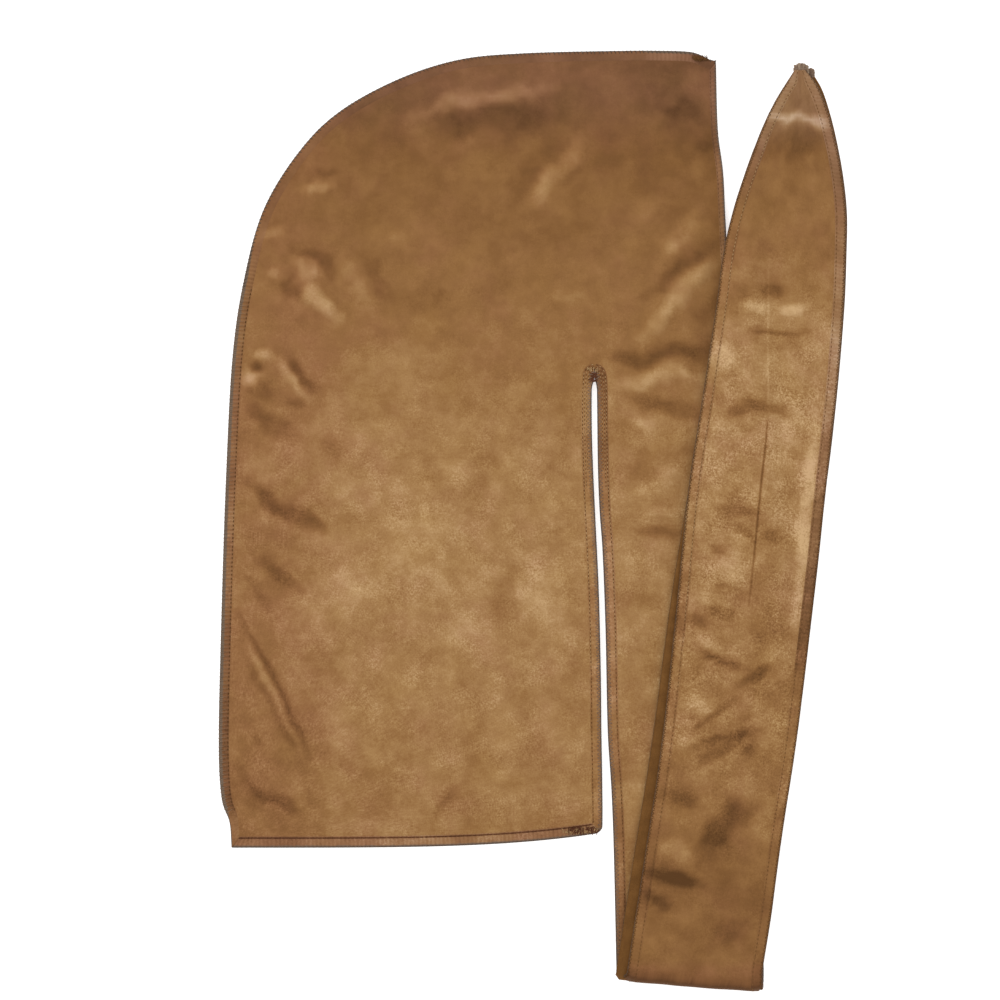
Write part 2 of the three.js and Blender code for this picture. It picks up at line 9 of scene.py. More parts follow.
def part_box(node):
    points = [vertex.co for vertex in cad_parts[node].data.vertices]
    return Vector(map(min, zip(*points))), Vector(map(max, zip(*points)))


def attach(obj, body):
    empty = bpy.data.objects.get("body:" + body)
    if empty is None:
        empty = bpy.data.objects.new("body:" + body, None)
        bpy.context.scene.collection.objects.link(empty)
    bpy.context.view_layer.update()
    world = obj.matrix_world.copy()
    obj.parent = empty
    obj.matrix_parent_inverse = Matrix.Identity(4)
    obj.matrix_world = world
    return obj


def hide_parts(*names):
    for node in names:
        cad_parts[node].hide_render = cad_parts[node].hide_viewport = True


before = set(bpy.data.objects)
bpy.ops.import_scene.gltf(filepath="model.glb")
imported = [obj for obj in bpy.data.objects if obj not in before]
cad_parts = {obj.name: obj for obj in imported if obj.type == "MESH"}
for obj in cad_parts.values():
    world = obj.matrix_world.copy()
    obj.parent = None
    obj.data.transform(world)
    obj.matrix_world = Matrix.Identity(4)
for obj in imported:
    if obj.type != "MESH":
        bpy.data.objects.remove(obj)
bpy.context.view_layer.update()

# A velvet durag laid flat: folded on its centre seam, with both ties folded up beside the crown.
# Sizes are metres on the cloth's flat pattern, where x = 0 is the back of the cape and y = 0 its bottom.
pattern = {
    "crownReach": 0.3036,     # back of the cape to the brow
    "bodyLength": 0.477,      # top of the crown to the bottom of the cape
    "capeWidth": 0.2286,
    "capeTopWidth": 0.2232,   # back to slit, at the slit's top
    "capeLift": 0.009,        # the cape's bottom is this much higher at the slit
    "slitLength": 0.283,
    "slitRadius": 0.0009,
    "tieRootWidth": 0.0835,
    "tieWidth": 0.083,
    "tieDrop": 0.3565,        # slit's top down to the fold
    "tieRise": 0.540,         # fold up to the tip
    "tieLean": 0.0624,        # lean to the right on the way up
    "tieSet": 0.0007,         # the folded tie lies this much left of where it leans from
    "tipLag": 0.003,
    "foldShift": 0.0066,      # outer tie lies this far right of the inner one
    "foldSlant": 0.007,
    "foldPull": 0.0017,       # the tie's right edge draws in this far at the fold
    "foldPuff": 0.003,
    "puffLength": 0.055,
    "cloth": 0.0012,          # thickness
    "hemWidth": 0.0066,
    "frontHemWidth": 0.004,
    "hemThickness": 0.0008,
    "seamWidth": 0.005,
    "seamThickness": 0.0008,
    "gap": 0.0003,            # between pieces that lie on each other
    "drapeStart": 0.010,
    "drapeRun": 0.020,
    "looseness": 0.4,
    "shoulder": 0.43,         # share of the sewn edge where the top turns into the back
}

# Sewn edge from the front corner round to the cape's foot: (across, down) in shares of reach and length
sewnEdge = [
    (0.978, 0.013), (0.966, 0.012), (0.9466, 0.006), (0.925, 0.0022), (0.88, 0.001), (0.79, 0.001),
    (0.6, 0.004), (0.472, 0.012), (0.354, 0.036),
    (0.239, 0.076), (0.16, 0.125), (0.089, 0.198), (0.05, 0.286), (0.027, 0.385), (0.014, 0.54),
    (0.005, 0.715), (0, 0.865), (0.005, 0.935), (0.019, 0.966), (0.023, 1),
]
# Front edge of the crown: (down, across)
frontEdge = [(0.013, 0.978), (0.1, 0.982), (0.15, 0.992), (0.2, 0.996), (0.25, 1)]
# Tie on its way down: (along the drop, inner edge, outer edge) in shares of the drop and the tie's width
tieDown = [
    (0, 0.004, 0), (0.09, 0.009, 0.021), (0.16, 0.0165, 0.0375), (0.2275, 0.029, 0.053),
    (0.295, 0.05, 0.069), (0.43, 0.072, 0.098), (0.6, 0.088, 0.135), (0.7, 0.115, 0.1575),
    (0.8, 0.131, 0.18), (1, 0.15, 0.225),
]
# Side of the cape along the slit: (up from the cape's bottom, across), both in metres
slitBack = [
    (0, 0.2286), (0.023, 0.2289), (0.071, 0.2282), (0.107, 0.2278), (0.155, 0.2266), (0.203, 0.2243),
    (0.227, 0.2233), (0.251, 0.2228), (0.275, 0.2228), (0.283, 0.2232),
]
# Tie folded up: (up, middle, width, under), under being how far the inner tie shows on the left
tieUp = [
    (0, 0, 0.99, 1), (0.125, 0.15, 0.965, 1), (0.245, 0.305, 0.962, 0.92), (0.41, 0.475, 0.983, 0.6),
    (0.54, 0.595, 0.99, 0), (0.64, 0.71, 0.962, -0.06), (0.74, 0.81, 0.915, -0.1),
    (0.8, 0.855, 0.875, -0.12), (0.845, 0.9, 0.81, -0.14), (0.887, 0.937, 0.694, -0.17),
    (0.93, 0.97, 0.528, -0.25), (0.962, 0.995, 0.369, -0.35), (0.985, 1.01, 0.21, -0.55),
    (1, 1, 0.065, -0.85),
]

# How finely the cloth is divided
fineness = {
    "capeAcross": 92, "slitTurn": 10, "tieAcross": 30, "crownDown": 84, "capeDown": 120,
    "tieDownRows": 130, "foldRows": 14, "tieUpRows": 200, "ring": 3,
}

hemStep = pattern["cloth"] / 2 + pattern["gap"] + pattern["hemThickness"]
clothStep = pattern["cloth"] + pattern["gap"]
lowest = hemStep
stackLevel = lowest + clothStep + 2 * hemStep + pattern["gap"]
slitTop = pattern["slitLength"]
slitCentre = pattern["capeTopWidth"] + pattern["slitRadius"]
tieRootOuter = slitCentre + pattern["slitRadius"] + pattern["tieRootWidth"]
foldY = slitTop - pattern["tieDrop"]

# The pattern's origin in the frame: the back of the lower half and the bottom of its cape hem
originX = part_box("lower_half")[0].x
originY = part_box("lower_cape_hem")[0].y

lowerLayer = {
    "edge": lowest, "field": pattern["cloth"] / 2, "onSurface": lowest + clothStep,
    "onStack": stackLevel + clothStep, "inner": 0,
}
upperLayer = {
    "edge": lowest + clothStep, "field": pattern["cloth"] / 2 + clothStep, "onSurface": lowest,
    "onStack": stackLevel, "inner": 1,
}


# Camera straight above, as in the photograph: its 1000 pixels span 0.6 m on the surface
view = {"centre": (-0.0201, 0.0131), "span": 0.6, "height": 5.0, "sensor": 36}

cameraData = bpy.data.cameras.new("camera")
cameraData.sensor_width = view["sensor"]
cameraData.lens = view["sensor"] * view["height"] / view["span"]
cameraData.clip_end = 50
camera = bpy.data.objects.new("camera", cameraData)
camera.location = (*view["centre"], view["height"])
bpy.context.scene.collection.objects.link(camera)
bpy.context.scene.camera = camera
print("camera placed")


# Helpers for tables and lines
def mix(a, b, t):
    return a + (b - a) * t


def smooth(t):
    s = np.clip(t, 0, 1)
    return s * s * (3 - 2 * s)


def ramp(value, start, width):  # rises from 0 to 1 over a width
    return smooth((value - start) / width)


def evenly(count):  # shares from 0 to 1 in even steps
    return np.linspace(0, 1, count + 1)


def through(table, where, column=1):  # smooth curve through a table's rows
    rows = np.array(table, float)
    x = rows[:, 0]
    y = rows[:, column]
    before = np.maximum(np.arange(len(x)) - 1, 0)
    after = np.minimum(np.arange(len(x)) + 1, len(x) - 1)
    slope = (y[after] - y[before]) / (x[after] - x[before])
    at = np.asarray(where, float)
    i = np.clip(np.searchsorted(x, at, side="left") - 1, 0, len(x) - 2)
    span = x[i + 1] - x[i]
    t = np.clip((at - x[i]) / span, 0, 1)
    return (
        (2 * t**3 - 3 * t**2 + 1) * y[i]
        + (t**3 - 2 * t**2 + t) * span * slope[i]
        + (3 * t**2 - 2 * t**3) * y[i + 1]
        + (t**3 - t**2) * span * slope[i + 1]
    )


def lengths(line):
    steps = np.linalg.norm(np.diff(line, axis=0), axis=1)
    return np.concatenate([[0], np.cumsum(steps)])


def alongLine(line, at):  # points at shares of a line's length
    run = lengths(line)
    want = np.asarray(at) * run[-1]
    return np.stack([np.interp(want, run, line[:, i]) for i in range(line.shape[1])], axis=1)


def shares(line):
    run = lengths(line)
    return run / run[-1]


def outerEdge(y):  # right-hand edge of the crown and of the tie that goes down
    y = np.asarray(y, float)
    browY = (1 - frontEdge[-1][0]) * pattern["bodyLength"]
    browX = frontEdge[-1][1] * pattern["crownReach"]
    front = through(frontEdge, 1 - y / pattern["bodyLength"]) * pattern["crownReach"]
    root = mix(tieRootOuter, browX, (y - slitTop) / (browY - slitTop))
    down = tieRootOuter + pattern["tieWidth"] * through(tieDown, (slitTop - y) / pattern["tieDrop"], 2)
    return np.where(y >= browY, front, np.where(y >= slitTop, root, down))


def innerEdge(y):
    share = (slitTop - np.asarray(y, float)) / pattern["tieDrop"]
    return slitCentre + pattern["slitRadius"] + pattern["tieWidth"] * through(tieDown, share, 1)


foldLeft = float(innerEdge(foldY))
foldMiddle = foldLeft + pattern["foldShift"] + 0.5 * pattern["tieWidth"]


def underShift(up):
    return pattern["foldShift"] * through(tieUp, up, 3)


def drawnIn(near):
    return pattern["foldPull"] * float(smooth(near))


def upEnds(up, inner):  # ends of a row across a folded tie
    def width(at):
        return pattern["tieWidth"] * through(tieUp, at, 2)

    def middle(at):
        lean = pattern["tieLean"] * through(tieUp, at, 1)
        return foldMiddle - pattern["tieSet"] + lean - inner * underShift(at)

    slant = pattern["foldSlant"] * min(width(up) / pattern["tieWidth"], 1) * (1 - smooth((up - 0.9) * 10))
    lower = up - slant / pattern["tieRise"]
    shift = (1 - inner) * pattern["foldSlant"] * pattern["foldShift"] / pattern["tieWidth"]
    y = foldY + (pattern["tieRise"] - inner * pattern["tipLag"]) * up - shift
    left = np.array([middle(up) - width(up) / 2, y])
    right = np.array([middle(lower) + width(lower) / 2 - drawnIn(1 - up / 0.09), y - slant])
    return left, right


def insetPoint(before, at, after, widthBefore, widthAfter):  # inside corner of two offset lines
    a = (at - before) / np.linalg.norm(at - before)
    b = (after - at) / np.linalg.norm(after - at)
    na = np.array([-a[1], a[0]])
    nb = np.array([-b[1], b[0]])
    turn = na[0] * nb[1] - na[1] * nb[0]
    if abs(turn) < 0.3:
        n = (na + nb) / np.linalg.norm(na + nb)
        return at + n * (widthBefore + widthAfter) / 2
    return np.array([
        at[0] + (widthBefore * nb[1] - widthAfter * na[1]) / turn,
        at[1] + (widthAfter * na[0] - widthBefore * nb[0]) / turn,
    ])


def insetLine(line, before, after, width, widthBefore, widthAfter):
    last = len(line) - 1
    inset = np.array([
        insetPoint(
            line[i - 1] if i else before,
            line[i],
            line[i + 1] if i < last else after,
            width if i else widthBefore,
            width if i < last else widthAfter,
        )
        for i in range(last + 1)
    ])
    run = lengths(line)
    for end, beside in ((0, widthBefore), (last, widthAfter)):  # even steps beside the neighbour's strip
        apart = np.abs(run - run[end])
        near = np.nonzero(apart < 2.5 * beside)[0]
        anchor = near[0] - 1 if end else near[-1] + 1
        inset[near] = mix(inset[end], inset[anchor], (apart[near] / apart[anchor])[:, None])
    return inset


def fill(top, bottom, left, right):  # rows of points between four lines
    s = np.linspace(0, 1, len(top))[None, :]
    t = np.linspace(0, 1, len(left))[:, None]
    u = mix(shares(top)[None, :], shares(bottom)[None, :], t)[..., None]
    v = mix(shares(left)[:, None], shares(right)[:, None], s)[..., None]
    across = mix(left[:, None], right[:, None], u)
    down = mix(top[None], bottom[None], v)
    corners = mix(mix(top[0], top[-1], u), mix(bottom[0], bottom[-1], u), v)
    grid = across + down - corners
    grid[0] = top
    grid[-1] = bottom
    grid[:, 0] = left
    grid[:, -1] = right
    return grid


def sewnLine():
    reach = np.array([pattern["crownReach"], pattern["bodyLength"]])
    points = np.array([(across, 1 - down) for across, down in sewnEdge]) * reach
    ends = np.vstack([points[:1], points, points[-1:]])
    t = np.linspace(0, 1, 80)[:, None]
    curves = []
    for a, b, c, d in zip(ends, ends[1:], ends[2:], ends[3:]):
        u = (c - a) / 2
        v = (d - b) / 2
        curves.append((2 * b - 2 * c + u + v) * t**3 + (3 * c - 3 * b - 2 * u - v) * t**2 + u * t + b)
    line = np.vstack(curves)
    keep = np.concatenate([[True], np.linalg.norm(np.diff(line, axis=0), axis=1) > 1e-9])
    return line[keep]


# Flat pattern of crown and cape, with an inner line one hem or seam inside each edge
def drawBody():
    across = fineness["capeAcross"]
    turnCount = fineness["slitTurn"]
    crownDown = fineness["crownDown"]
    capeDown = fineness["capeDown"]
    columns = across + turnCount + fineness["tieAcross"]
    line = sewnLine()
    at = shares(line)
    lower = (at > pattern["shoulder"]) & (line[:, 1] < slitTop)
    side = at[lower][0]
    top = pattern["shoulder"]
    stops = np.concatenate([
        np.linspace(0, top, columns + 1),
        np.linspace(top, side, crownDown + 1)[1:],
        np.linspace(side, 1, capeDown + 1)[1:],
    ])
    sewn = alongLine(line, stops)
    foot = sewn[-1]
    t = evenly(across)
    hem = np.stack([
        mix(foot[0], pattern["capeWidth"], t),
        mix(foot[1], 0, smooth(4 * t)) + pattern["capeLift"] * t**4,
    ], axis=1)
    t = evenly(capeDown)
    sideY = mix(hem[-1][1], slitTop, t)
    slitSide = np.stack([through(slitBack, sideY), sideY], axis=1)
    slitSide[0] = hem[-1]
    angle = np.pi * evenly(turnCount)

    def turn(radius):
        return np.stack([slitCentre - radius * np.cos(angle), slitTop + radius * np.sin(angle)], axis=1)

    y = mix(slitTop, sewn[0][1], evenly(crownDown))
    front = np.stack([outerEdge(y), y], axis=1)
    front[-1] = sewn[0]

    wide = pattern["hemWidth"]
    narrow = pattern["frontHemWidth"]
    seam = pattern["seamWidth"]
    arch = turn(pattern["slitRadius"])
    sewnIn = insetLine(sewn, front[-2], hem[1], seam, narrow, wide)
    hemIn = insetLine(hem, sewn[-2], slitSide[1], wide, seam, wide)
    slitIn = insetLine(slitSide, hem[-2], arch[1], wide, wide, wide)
    frontIn = insetLine(front, 2 * front[0] - front[1], sewn[1], narrow, narrow, seam)
    archIn = turn(pattern["slitRadius"] + wide)
    slitIn[-1] = archIn[0]
    hemIn[0] = sewnIn[-1]
    slitIn[0] = hemIn[-1]
    frontIn[-1] = sewnIn[0]

    # one loop of outer and inner points: sewn edge, cape hem, slit's side and the turn over its top
    outer = np.vstack([sewn, hem[1:], slitSide[1:], arch[1:]])
    inner = np.vstack([sewnIn, hemIn[1:], slitIn[1:], archIn[1:]])
    backRow = columns + crownDown
    slitRow = np.vstack([
        mix(sewnIn[backRow], archIn[0], evenly(across)[:, None]),
        archIn[1:],
        mix(archIn[-1], frontIn[0], evenly(fineness["tieAcross"])[1:, None]),
    ])
    crown = fill(sewnIn[: columns + 1][::-1], slitRow, sewnIn[columns: backRow + 1], frontIn[::-1])
    cape = fill(slitRow[: across + 1], hemIn, sewnIn[backRow:], slitIn[::-1])
    return {
        "outer": outer, "inner": inner, "front": front, "frontIn": frontIn, "crown": crown,
        "cape": cape, "columns": columns, "backRow": backRow,
    }


body = drawBody()
print("flat pattern drawn")


# Folds and brushed strokes in the velvet, in millimetres of the pattern. Each is (what it is, how wide,
# how light (+) or dark (-) it is painted there, the fold's height, the points it runs through). The light and
# dark are partly the pile's own brushed tone and partly painted: painted highlight along the folds and
# painted shade in the grooves between them, where the dark strokes also sink.
mm = 0.001
bodyStrokes = [
    # crown
    ("crown roll", 4.5, 0.42, 2.4, [(118, 437), (142, 447), (170, 451), (202, 454)]),
    ("under crown roll", 9, -0.3, 0, [(128, 430), (160, 436), (202, 437)]),
    ("crown curl", 4, 0.16, 0.7, [(119, 446), (115, 434), (121, 424)]),
    ("crown blobs", 4, 0.16, 0.7, [(146, 421), (158, 428), (170, 429)]),
    ("crown slope", 4.8, 0.44, 1.8, [(217, 424), (199, 404), (182, 383)]),
    ("crown low line", 4, 0.14, 0.6, [(101, 370), (116, 350)]),
    ("shoulder rim", 3, 0.3, 0.8, [(24, 365), (38, 371)]),
    ("beside slope", 6, -0.15, 0, [(203, 421), (186, 405), (170, 386)]),
    ("brow first", 4, 0.36, 1.6, [(287, 372), (266, 357)]),
    ("brow groove", 4, -0.42, 0, [(303, 365), (281, 349), (252, 328)]),
    ("brow second", 5, 0.45, 2.2, [(303, 359), (281, 337), (254, 305)]),
    ("brow streak", 3.2, 0.24, 0.8, [(292, 387), (274, 369), (262, 350)]),
    ("brow under", 6, -0.3, 0, [(298, 330), (288, 311)]),
    ("temple dark", 5, -0.28, 0, [(285, 450), (268, 433)]),
    ("temple light", 6, 0.22, 0.6, [(275, 462), (285, 460)]),
    ("temple low", 6, -0.22, 0, [(292, 424), (288, 416)]),
    ("front fleck", 3.4, 0.26, 0.6, [(288, 413), (286, 400)]),
    ("crown fleck", 5, 0.2, 0.6, [(262, 387), (247, 374)]),
    ("shoulder top", 3.6, 0.5, 1.6, [(51, 397), (67, 395)]),
    ("shoulder shade", 4, -0.25, 0, [(52, 405), (70, 403)]),
    ("shoulder bright", 4, 0.5, 1.4, [(44, 351), (57, 345)]),
    ("shoulder small", 3, 0.35, 0.8, [(27, 345), (34, 343)]),
    ("shoulder roll", 4.6, 0.6, 3, [(46, 341), (58, 330), (72, 316)]),
    ("shoulder dark", 5, -0.32, 0, [(45, 357), (62, 350), (66, 338)]),
    ("shoulder low", 4, -0.3, 0, [(38, 344), (46, 329)]),
    ("long light", 5, 0.2, 0.9, [(73, 351), (92, 331)]),
    ("long dark", 5, -0.32, 0, [(86, 354), (104, 329)]),
    ("crown dimple", 4, -0.2, 0, [(129, 334), (134, 329)]),
    ("crown line", 3, 0.16, 0.5, [(195, 330), (216, 331)]),
    ("nape top", 3.4, 0.5, 1.2, [(20, 297), (31, 294)]),
    ("nape hole", 3, -0.55, 0, [(18, 290), (26, 287)]),
    ("nape foot", 4, 0.5, 1, [(12, 283), (24, 282)]),
    ("nape roll", 4.4, 0.4, 2, [(33, 291), (42, 281), (52, 269)]),
    ("nape dark", 5, -0.5, 0, [(40, 296), (49, 281), (60, 275)]),
    ("nape under", 4, -0.3, 0, [(14, 277), (33, 272)]),
    ("nape second", 4.6, -0.36, 0, [(14, 268), (30, 254), (45, 246)]),
    ("nape third", 3.6, -0.3, 0, [(36, 266), (49, 265)]),
    ("nape far", 5, -0.16, 0, [(54, 240), (76, 238)]),
    # root of the tie
    ("root groove", 4, -0.45, 0, [(226, 291), (257, 293), (296, 299)]),
    ("root light", 4.4, 0.42, 1.5, [(238, 278), (263, 284), (290, 282)]),
    ("root dark", 5.4, -0.42, 0, [(242, 272), (263, 266), (290, 259)]),
    ("root fleck", 4, 0.32, 0.8, [(248, 257), (261, 247)]),
    ("root side", 6, -0.22, 0, [(281, 245), (284, 238)]),
    ("root soft", 8, -0.18, 0, [(246, 233), (258, 227)]),
    ("root lift", 5, 0.26, 0.9, [(249, 210), (262, 217), (275, 225)]),
    ("root band light", 3.4, 0.32, 0.9, [(256, 199), (277, 201)]),
    ("root band", 3, -0.5, 0, [(249, 189), (279, 189)]),
    ("tie plain", 9, 0.14, 0, [(240, 176), (262, 168)]),
    ("tie shade", 7, -0.14, 0, [(246, 150), (268, 148)]),
    # cape
    ("back upper", 4, -0.52, 0, [(15, 219), (26, 209), (47, 197), (63, 189)]),
    ("back upper light", 4, 0.2, 0.9, [(24, 200), (42, 191)]),
    ("back middle", 4.6, -0.42, 0, [(24, 180), (35, 165), (49, 151)]),
    ("back small", 3, -0.24, 0, [(16, 162), (28, 142)]),
    ("back crease", 2.4, -0.48, 0, [(11, 141), (22, 120), (31, 105), (38, 88), (48, 65), (54, 52)]),
    ("back ridge", 2.4, 0.26, 1.1, [(18, 121), (29, 99), (40, 76), (48, 58)]),
    ("second crease", 2.4, -0.3, 0, [(14, 118), (24, 98), (36, 74), (47, 50)]),
    ("back nick", 2.6, -0.26, 0, [(19, 67), (26, 61)]),
    ("back foot", 3.2, -0.3, 0, [(13, 49), (25, 28)]),
    ("foot blob", 4, -0.46, 0, [(24, 33), (35, 28), (48, 21)]),
    ("foot far", 4, -0.16, 0, [(60, 66), (63, 49)]),
    ("cape drag", 1.7, -0.28, 0, [(126, 10), (130, 23), (136, 29), (141, 37)]),
    ("cape upper line", 1.6, -0.16, 0, [(194, 230), (209, 221)]),
    ("cape lower line", 1.6, -0.14, 0, [(198, 188), (213, 195)]),
    ("cape soft first", 8, -0.18, 0, [(158, 246), (154, 187)]),
    ("cape soft second", 8, -0.2, 0, [(180, 178), (166, 136)]),
    ("cape bloom", 17, 0.14, 0.9, [(140, 220), (112, 180), (128, 140)]),
    ("cape bloom low", 12, 0.14, 0.6, [(72, 172), (94, 150)]),
    ("cape bloom right", 12, 0.14, 0.6, [(182, 172), (202, 128)]),
    ("cape bloom middle", 13, 0.1, 0.4, [(140, 124), (134, 98)]),
]
tieStrokes = [
    ("tip light", 4, 0.6, 1.2, [(329, 436.5), (347, 438), (366, 436.5)]),
    ("tip dark", 9, -0.22, 0, [(337, 424), (356, 421)]),
    ("upper dark", 2.8, -0.4, 0, [(321, 335), (339, 333)]),
    ("upper light left", 2.8, 0.45, 1.1, [(311, 325), (327, 323)]),
    ("upper light right", 2.5, 0.42, 1, [(334, 322), (350, 324)]),
    ("upper line", 1.7, -0.34, 0, [(309, 312), (331, 308), (353, 309)]),
    ("upper bloom", 5, 0.26, 0.8, [(297, 300), (309, 289)]),
    ("middle dark left", 2.8, -0.4, 0, [(303, 261), (316, 261)]),
    ("middle dark", 3.4, -0.5, 0, [(311, 266), (330, 264), (344, 259)]),
    ("middle light", 4, 0.24, 1.2, [(296, 257), (309, 251)]),
    ("middle soft", 2.4, -0.18, 0, [(308, 250), (320, 252)]),
    ("strip light", 3.4, 0.32, 0.4, [(356, 262), (351, 209), (345, 131)]),
    ("lower dark", 3, -0.32, 0, [(297, 204), (323, 200)]),
    ("lower nick", 2.2, -0.38, 0, [(308, 193), (321, 184)]),
    ("lower side", 4, -0.22, 0, [(331, 192), (336, 184)]),
    ("lower spot", 2.8, -0.42, 0, [(293, 180), (303, 174)]),
    ("lower bloom", 7, 0.16, 1, [(297, 170), (313, 163)]),
    ("hair line", 1.2, -0.25, 0, [(297, 158), (315, 158)]),
    ("bloom left", 5, 0.2, 0.8, [(281, 154), (299, 147)]),
    ("band left", 3.8, -0.34, 0, [(279, 137), (292, 134)]),
    ("band right", 4, -0.3, 0, [(292, 141), (309, 137)]),
    ("speckle", 4, 0.2, 0.9, [(287, 124), (305, 119)]),
    ("sweep", 3.2, -0.48, 0, [(288, 118), (299, 113), (315, 107)]),
    ("hook", 3.2, -0.42, 0, [(309, 97), (320, 102), (330, 110)]),
    ("bright patch", 5, 0.28, 0.9, [(280, 88), (302, 83)]),
    ("bright right", 5, 0.14, 0.5, [(311, 88), (327, 84)]),
    ("slant first", 2.2, -0.38, 0, [(283, 71), (296, 80), (308, 88)]),
    ("slant light", 3, 0.36, 1.4, [(271, 66), (287, 62)]),
    ("slant second", 2.8, -0.44, 0, [(283, 61), (299, 66), (325, 70)]),
    ("slant third", 3.2, -0.38, 0, [(287, 49), (296, 57), (312, 65)]),
    ("slant end", 3, -0.28, 0, [(315, 57), (323, 65)]),
    ("foot left", 4.4, -0.32, 0, [(263, 34), (288, 26)]),
    ("foot light", 5, 0.16, 0.8, [(301, 39), (318, 31)]),
    ("foot dark", 6.5, -0.42, 0, [(321, 28), (308, 19), (298, 6), (284, -8)]),
    ("foot bloom", 6, 0.3, 1.4, [(261, 4), (281, -8)]),
    ("fold first", 3.6, -0.5, 0, [(256, -16), (275, -19), (289, -21)]),
    ("fold second", 3.8, -0.36, 0, [(254, -29), (272, -35)]),
    ("fold soft", 8, -0.2, 0, [(296, -42), (314, -51)]),
]


def strokeField(strokes, x, y, what):  # sum of the strokes' painted tones (pile tone with painted shade and highlight), or the highest of their rises
    total = np.zeros_like(x)
    driftX = 0.0026 * cloudField(x, y, 0.02, 21) + 0.001 * cloudField(x, y, 0.006, 22)
    driftY = 0.0026 * cloudField(x, y, 0.02, 23) + 0.001 * cloudField(x, y, 0.006, 24)
    swell = 1 + 0.35 * cloudField(x, y, 0.012, 25)
    for _, wide, nap, rise, route in strokes:
        strength = nap if what == "nap" else rise
        if strength == 0:
            continue
        line = np.array(route, float) * mm
        spread = wide * mm
        drift = min(1.0, (spread / 0.004) ** 2)
        px = x + driftX * drift
        py = y + driftY * drift
        run = shares(line)
        away = np.full_like(x, 1e9)
        along = np.zeros_like(x)
        for i, (a, b) in enumerate(zip(line, line[1:])):
            step = b - a
            t = np.clip(((px - a[0]) * step[0] + (py - a[1]) * step[1]) / (step @ step), 0, 1)
            apart = np.hypot(px - a[0] - t * step[0], py - a[1] - t * step[1])
            along = np.where(apart < away, mix(run[i], run[i + 1], t), along)
            away = np.minimum(away, apart)
        taper = 0.35 + 0.65 * smooth(np.minimum(along, 1 - along) * 4)
        shape = strength * taper * np.exp(-(away / (spread * (0.55 + 0.55 * taper) * swell)) ** 3)
        total = total + shape if what == "nap" else np.maximum(total, shape)
    return total


def cloudField(x, y, size, seed):  # soft seeded unevenness, about -1 to 1
    return np.array([
        noise.noise(Vector((a / size + seed * 7.3, b / size - seed * 3.1, seed * 1.7)))
        for a, b in zip(x, y)
    ]) * 1.8


# Overall tone by place: (down, tone) for crown and cape, (up, tone) for the folded tie. Partly the velvet's
# own
# tone and partly painted light: the darker crown top is painted light falling off, and the dark first
# few millimetres of the tie above its fold are painted shade of the bend.
bodyTone = [
    (0, -0.52), (0.08, -0.45), (0.16, -0.3), (0.3, -0.1), (0.42, 0.14), (0.5, 0.26), (0.6, 0.28),
    (0.75, 0.27), (0.9, 0.18), (1, 0.12), (1.15, 0.1), (1.3, 0.1),
]
tieTone = [
    (0, -0.5), (0.004, -0.38), (0.01, -0.28), (0.05, -0.24), (0.12, -0.28), (0.17, -0.08), (0.25, 0.06),
    (0.4, 0.14), (0.5, 0.3), (0.6, 0.4), (0.68, 0.34), (0.75, 0.16), (0.8, 0), (0.86, -0.2), (0.93, -0.27),
    (0.97, -0.17), (1, -0.2),
]
# How strongly the pile flecks: smooth on the crown, rough on the cape, roughest on the folded tie
bodyFleck = [(0, 0.24), (0.25, 0.34), (0.4, 0.7), (0.55, 1.1), (1.4, 1.1)]
tieFleck = [
    (0, 0.5), (0.12, 0.7), (0.25, 1.6), (0.4, 1.8), (0.65, 1.75), (0.75, 1), (0.85, 0.4), (1, 0.5),
]
# The tie was once pressed in half, with no fold in the mesh: where the crease runs, and how dark or light it
# is painted, painted shade along its middle stretch and a painted highlight higher up
creaseAt = [
    (0, 0.53), (0.44, 0.528), (0.545, 0.522), (0.62, 0.503), (0.7, 0.435), (0.757, 0.395), (0.82, 0.36),
    (1, 0.36),
]
creaseTone = [
    (0, 0), (0.4, 0), (0.43, -0.5), (0.5, -0.9), (0.6, -0.9), (0.62, -0.2), (0.64, 0.2), (0.74, 0.24),
    (0.82, 0), (1, 0),
]


def bodyNapAndShade(x, y):
    down = 1 - y / pattern["bodyLength"]
    backStrip = 1 - ramp(x, 0.03, 0.05)
    besideTie = 0.1 * ramp(x, 0.232, 0.01) * ramp(down, 0.33, 0.05)
    tone = through(bodyTone, down)
    tone = tone - 0.26 * backStrip * smooth((down - 0.3) * 5)
    tone = tone - 0.14 * ramp(x, 0.24, 0.05) * (1 - ramp(down, 0.2, 0.1))
    tone = tone - besideTie * (1 - ramp(down, 0.55, 0.1))
    # the strokes paint the pile's tone together with painted highlight on the folds and painted shade in
    # their grooves
    tone = tone + 1.2 * strokeField(bodyStrokes, x, y, "nap")
    return tone + 0.08 * cloudField(x, y, 0.03, 1) + 0.06 * cloudField(x, y, 0.012, 2)


def tieNapAndShade(x, y, up):
    # the tie's strokes: pile tone with painted highlight on its folds and painted shade in their grooves
    tone = through(tieTone, up) + 1.6 * strokeField(tieStrokes, x, y, "nap")
    return tone + 0.11 * cloudField(x, y, 0.026, 3) + 0.1 * cloudField(x, y, 0.01, 4)


def bodyBlush(x, y):  # how rosy the velvet is: along the crown's top and the back
    rim = 1 - ramp(x, 0.04, 0.06)
    top = ramp(y, 0.4, 0.06)
    return np.maximum(0.6 * rim, 0.9 * top) - 0.1 + 0.3 * cloudField(x, y, 0.035, 13)


def tieBlush(x, y):
    return -0.05 + 0.3 * cloudField(x, y, 0.03, 14)


def bodyGreyAndSheen(y):  # how grey the velvet is painted along the crown's top, where the greying is painted light; the tie's tip is greyed by its own painted sheen below
    return 0.45 * ramp(y, 0.415, 0.04)


# painted sheen highlight: the tie's tip and the band across it are whitened
def tieTipSheen(y):
    return 0.9 * ramp(y, 0.415, 0.025)


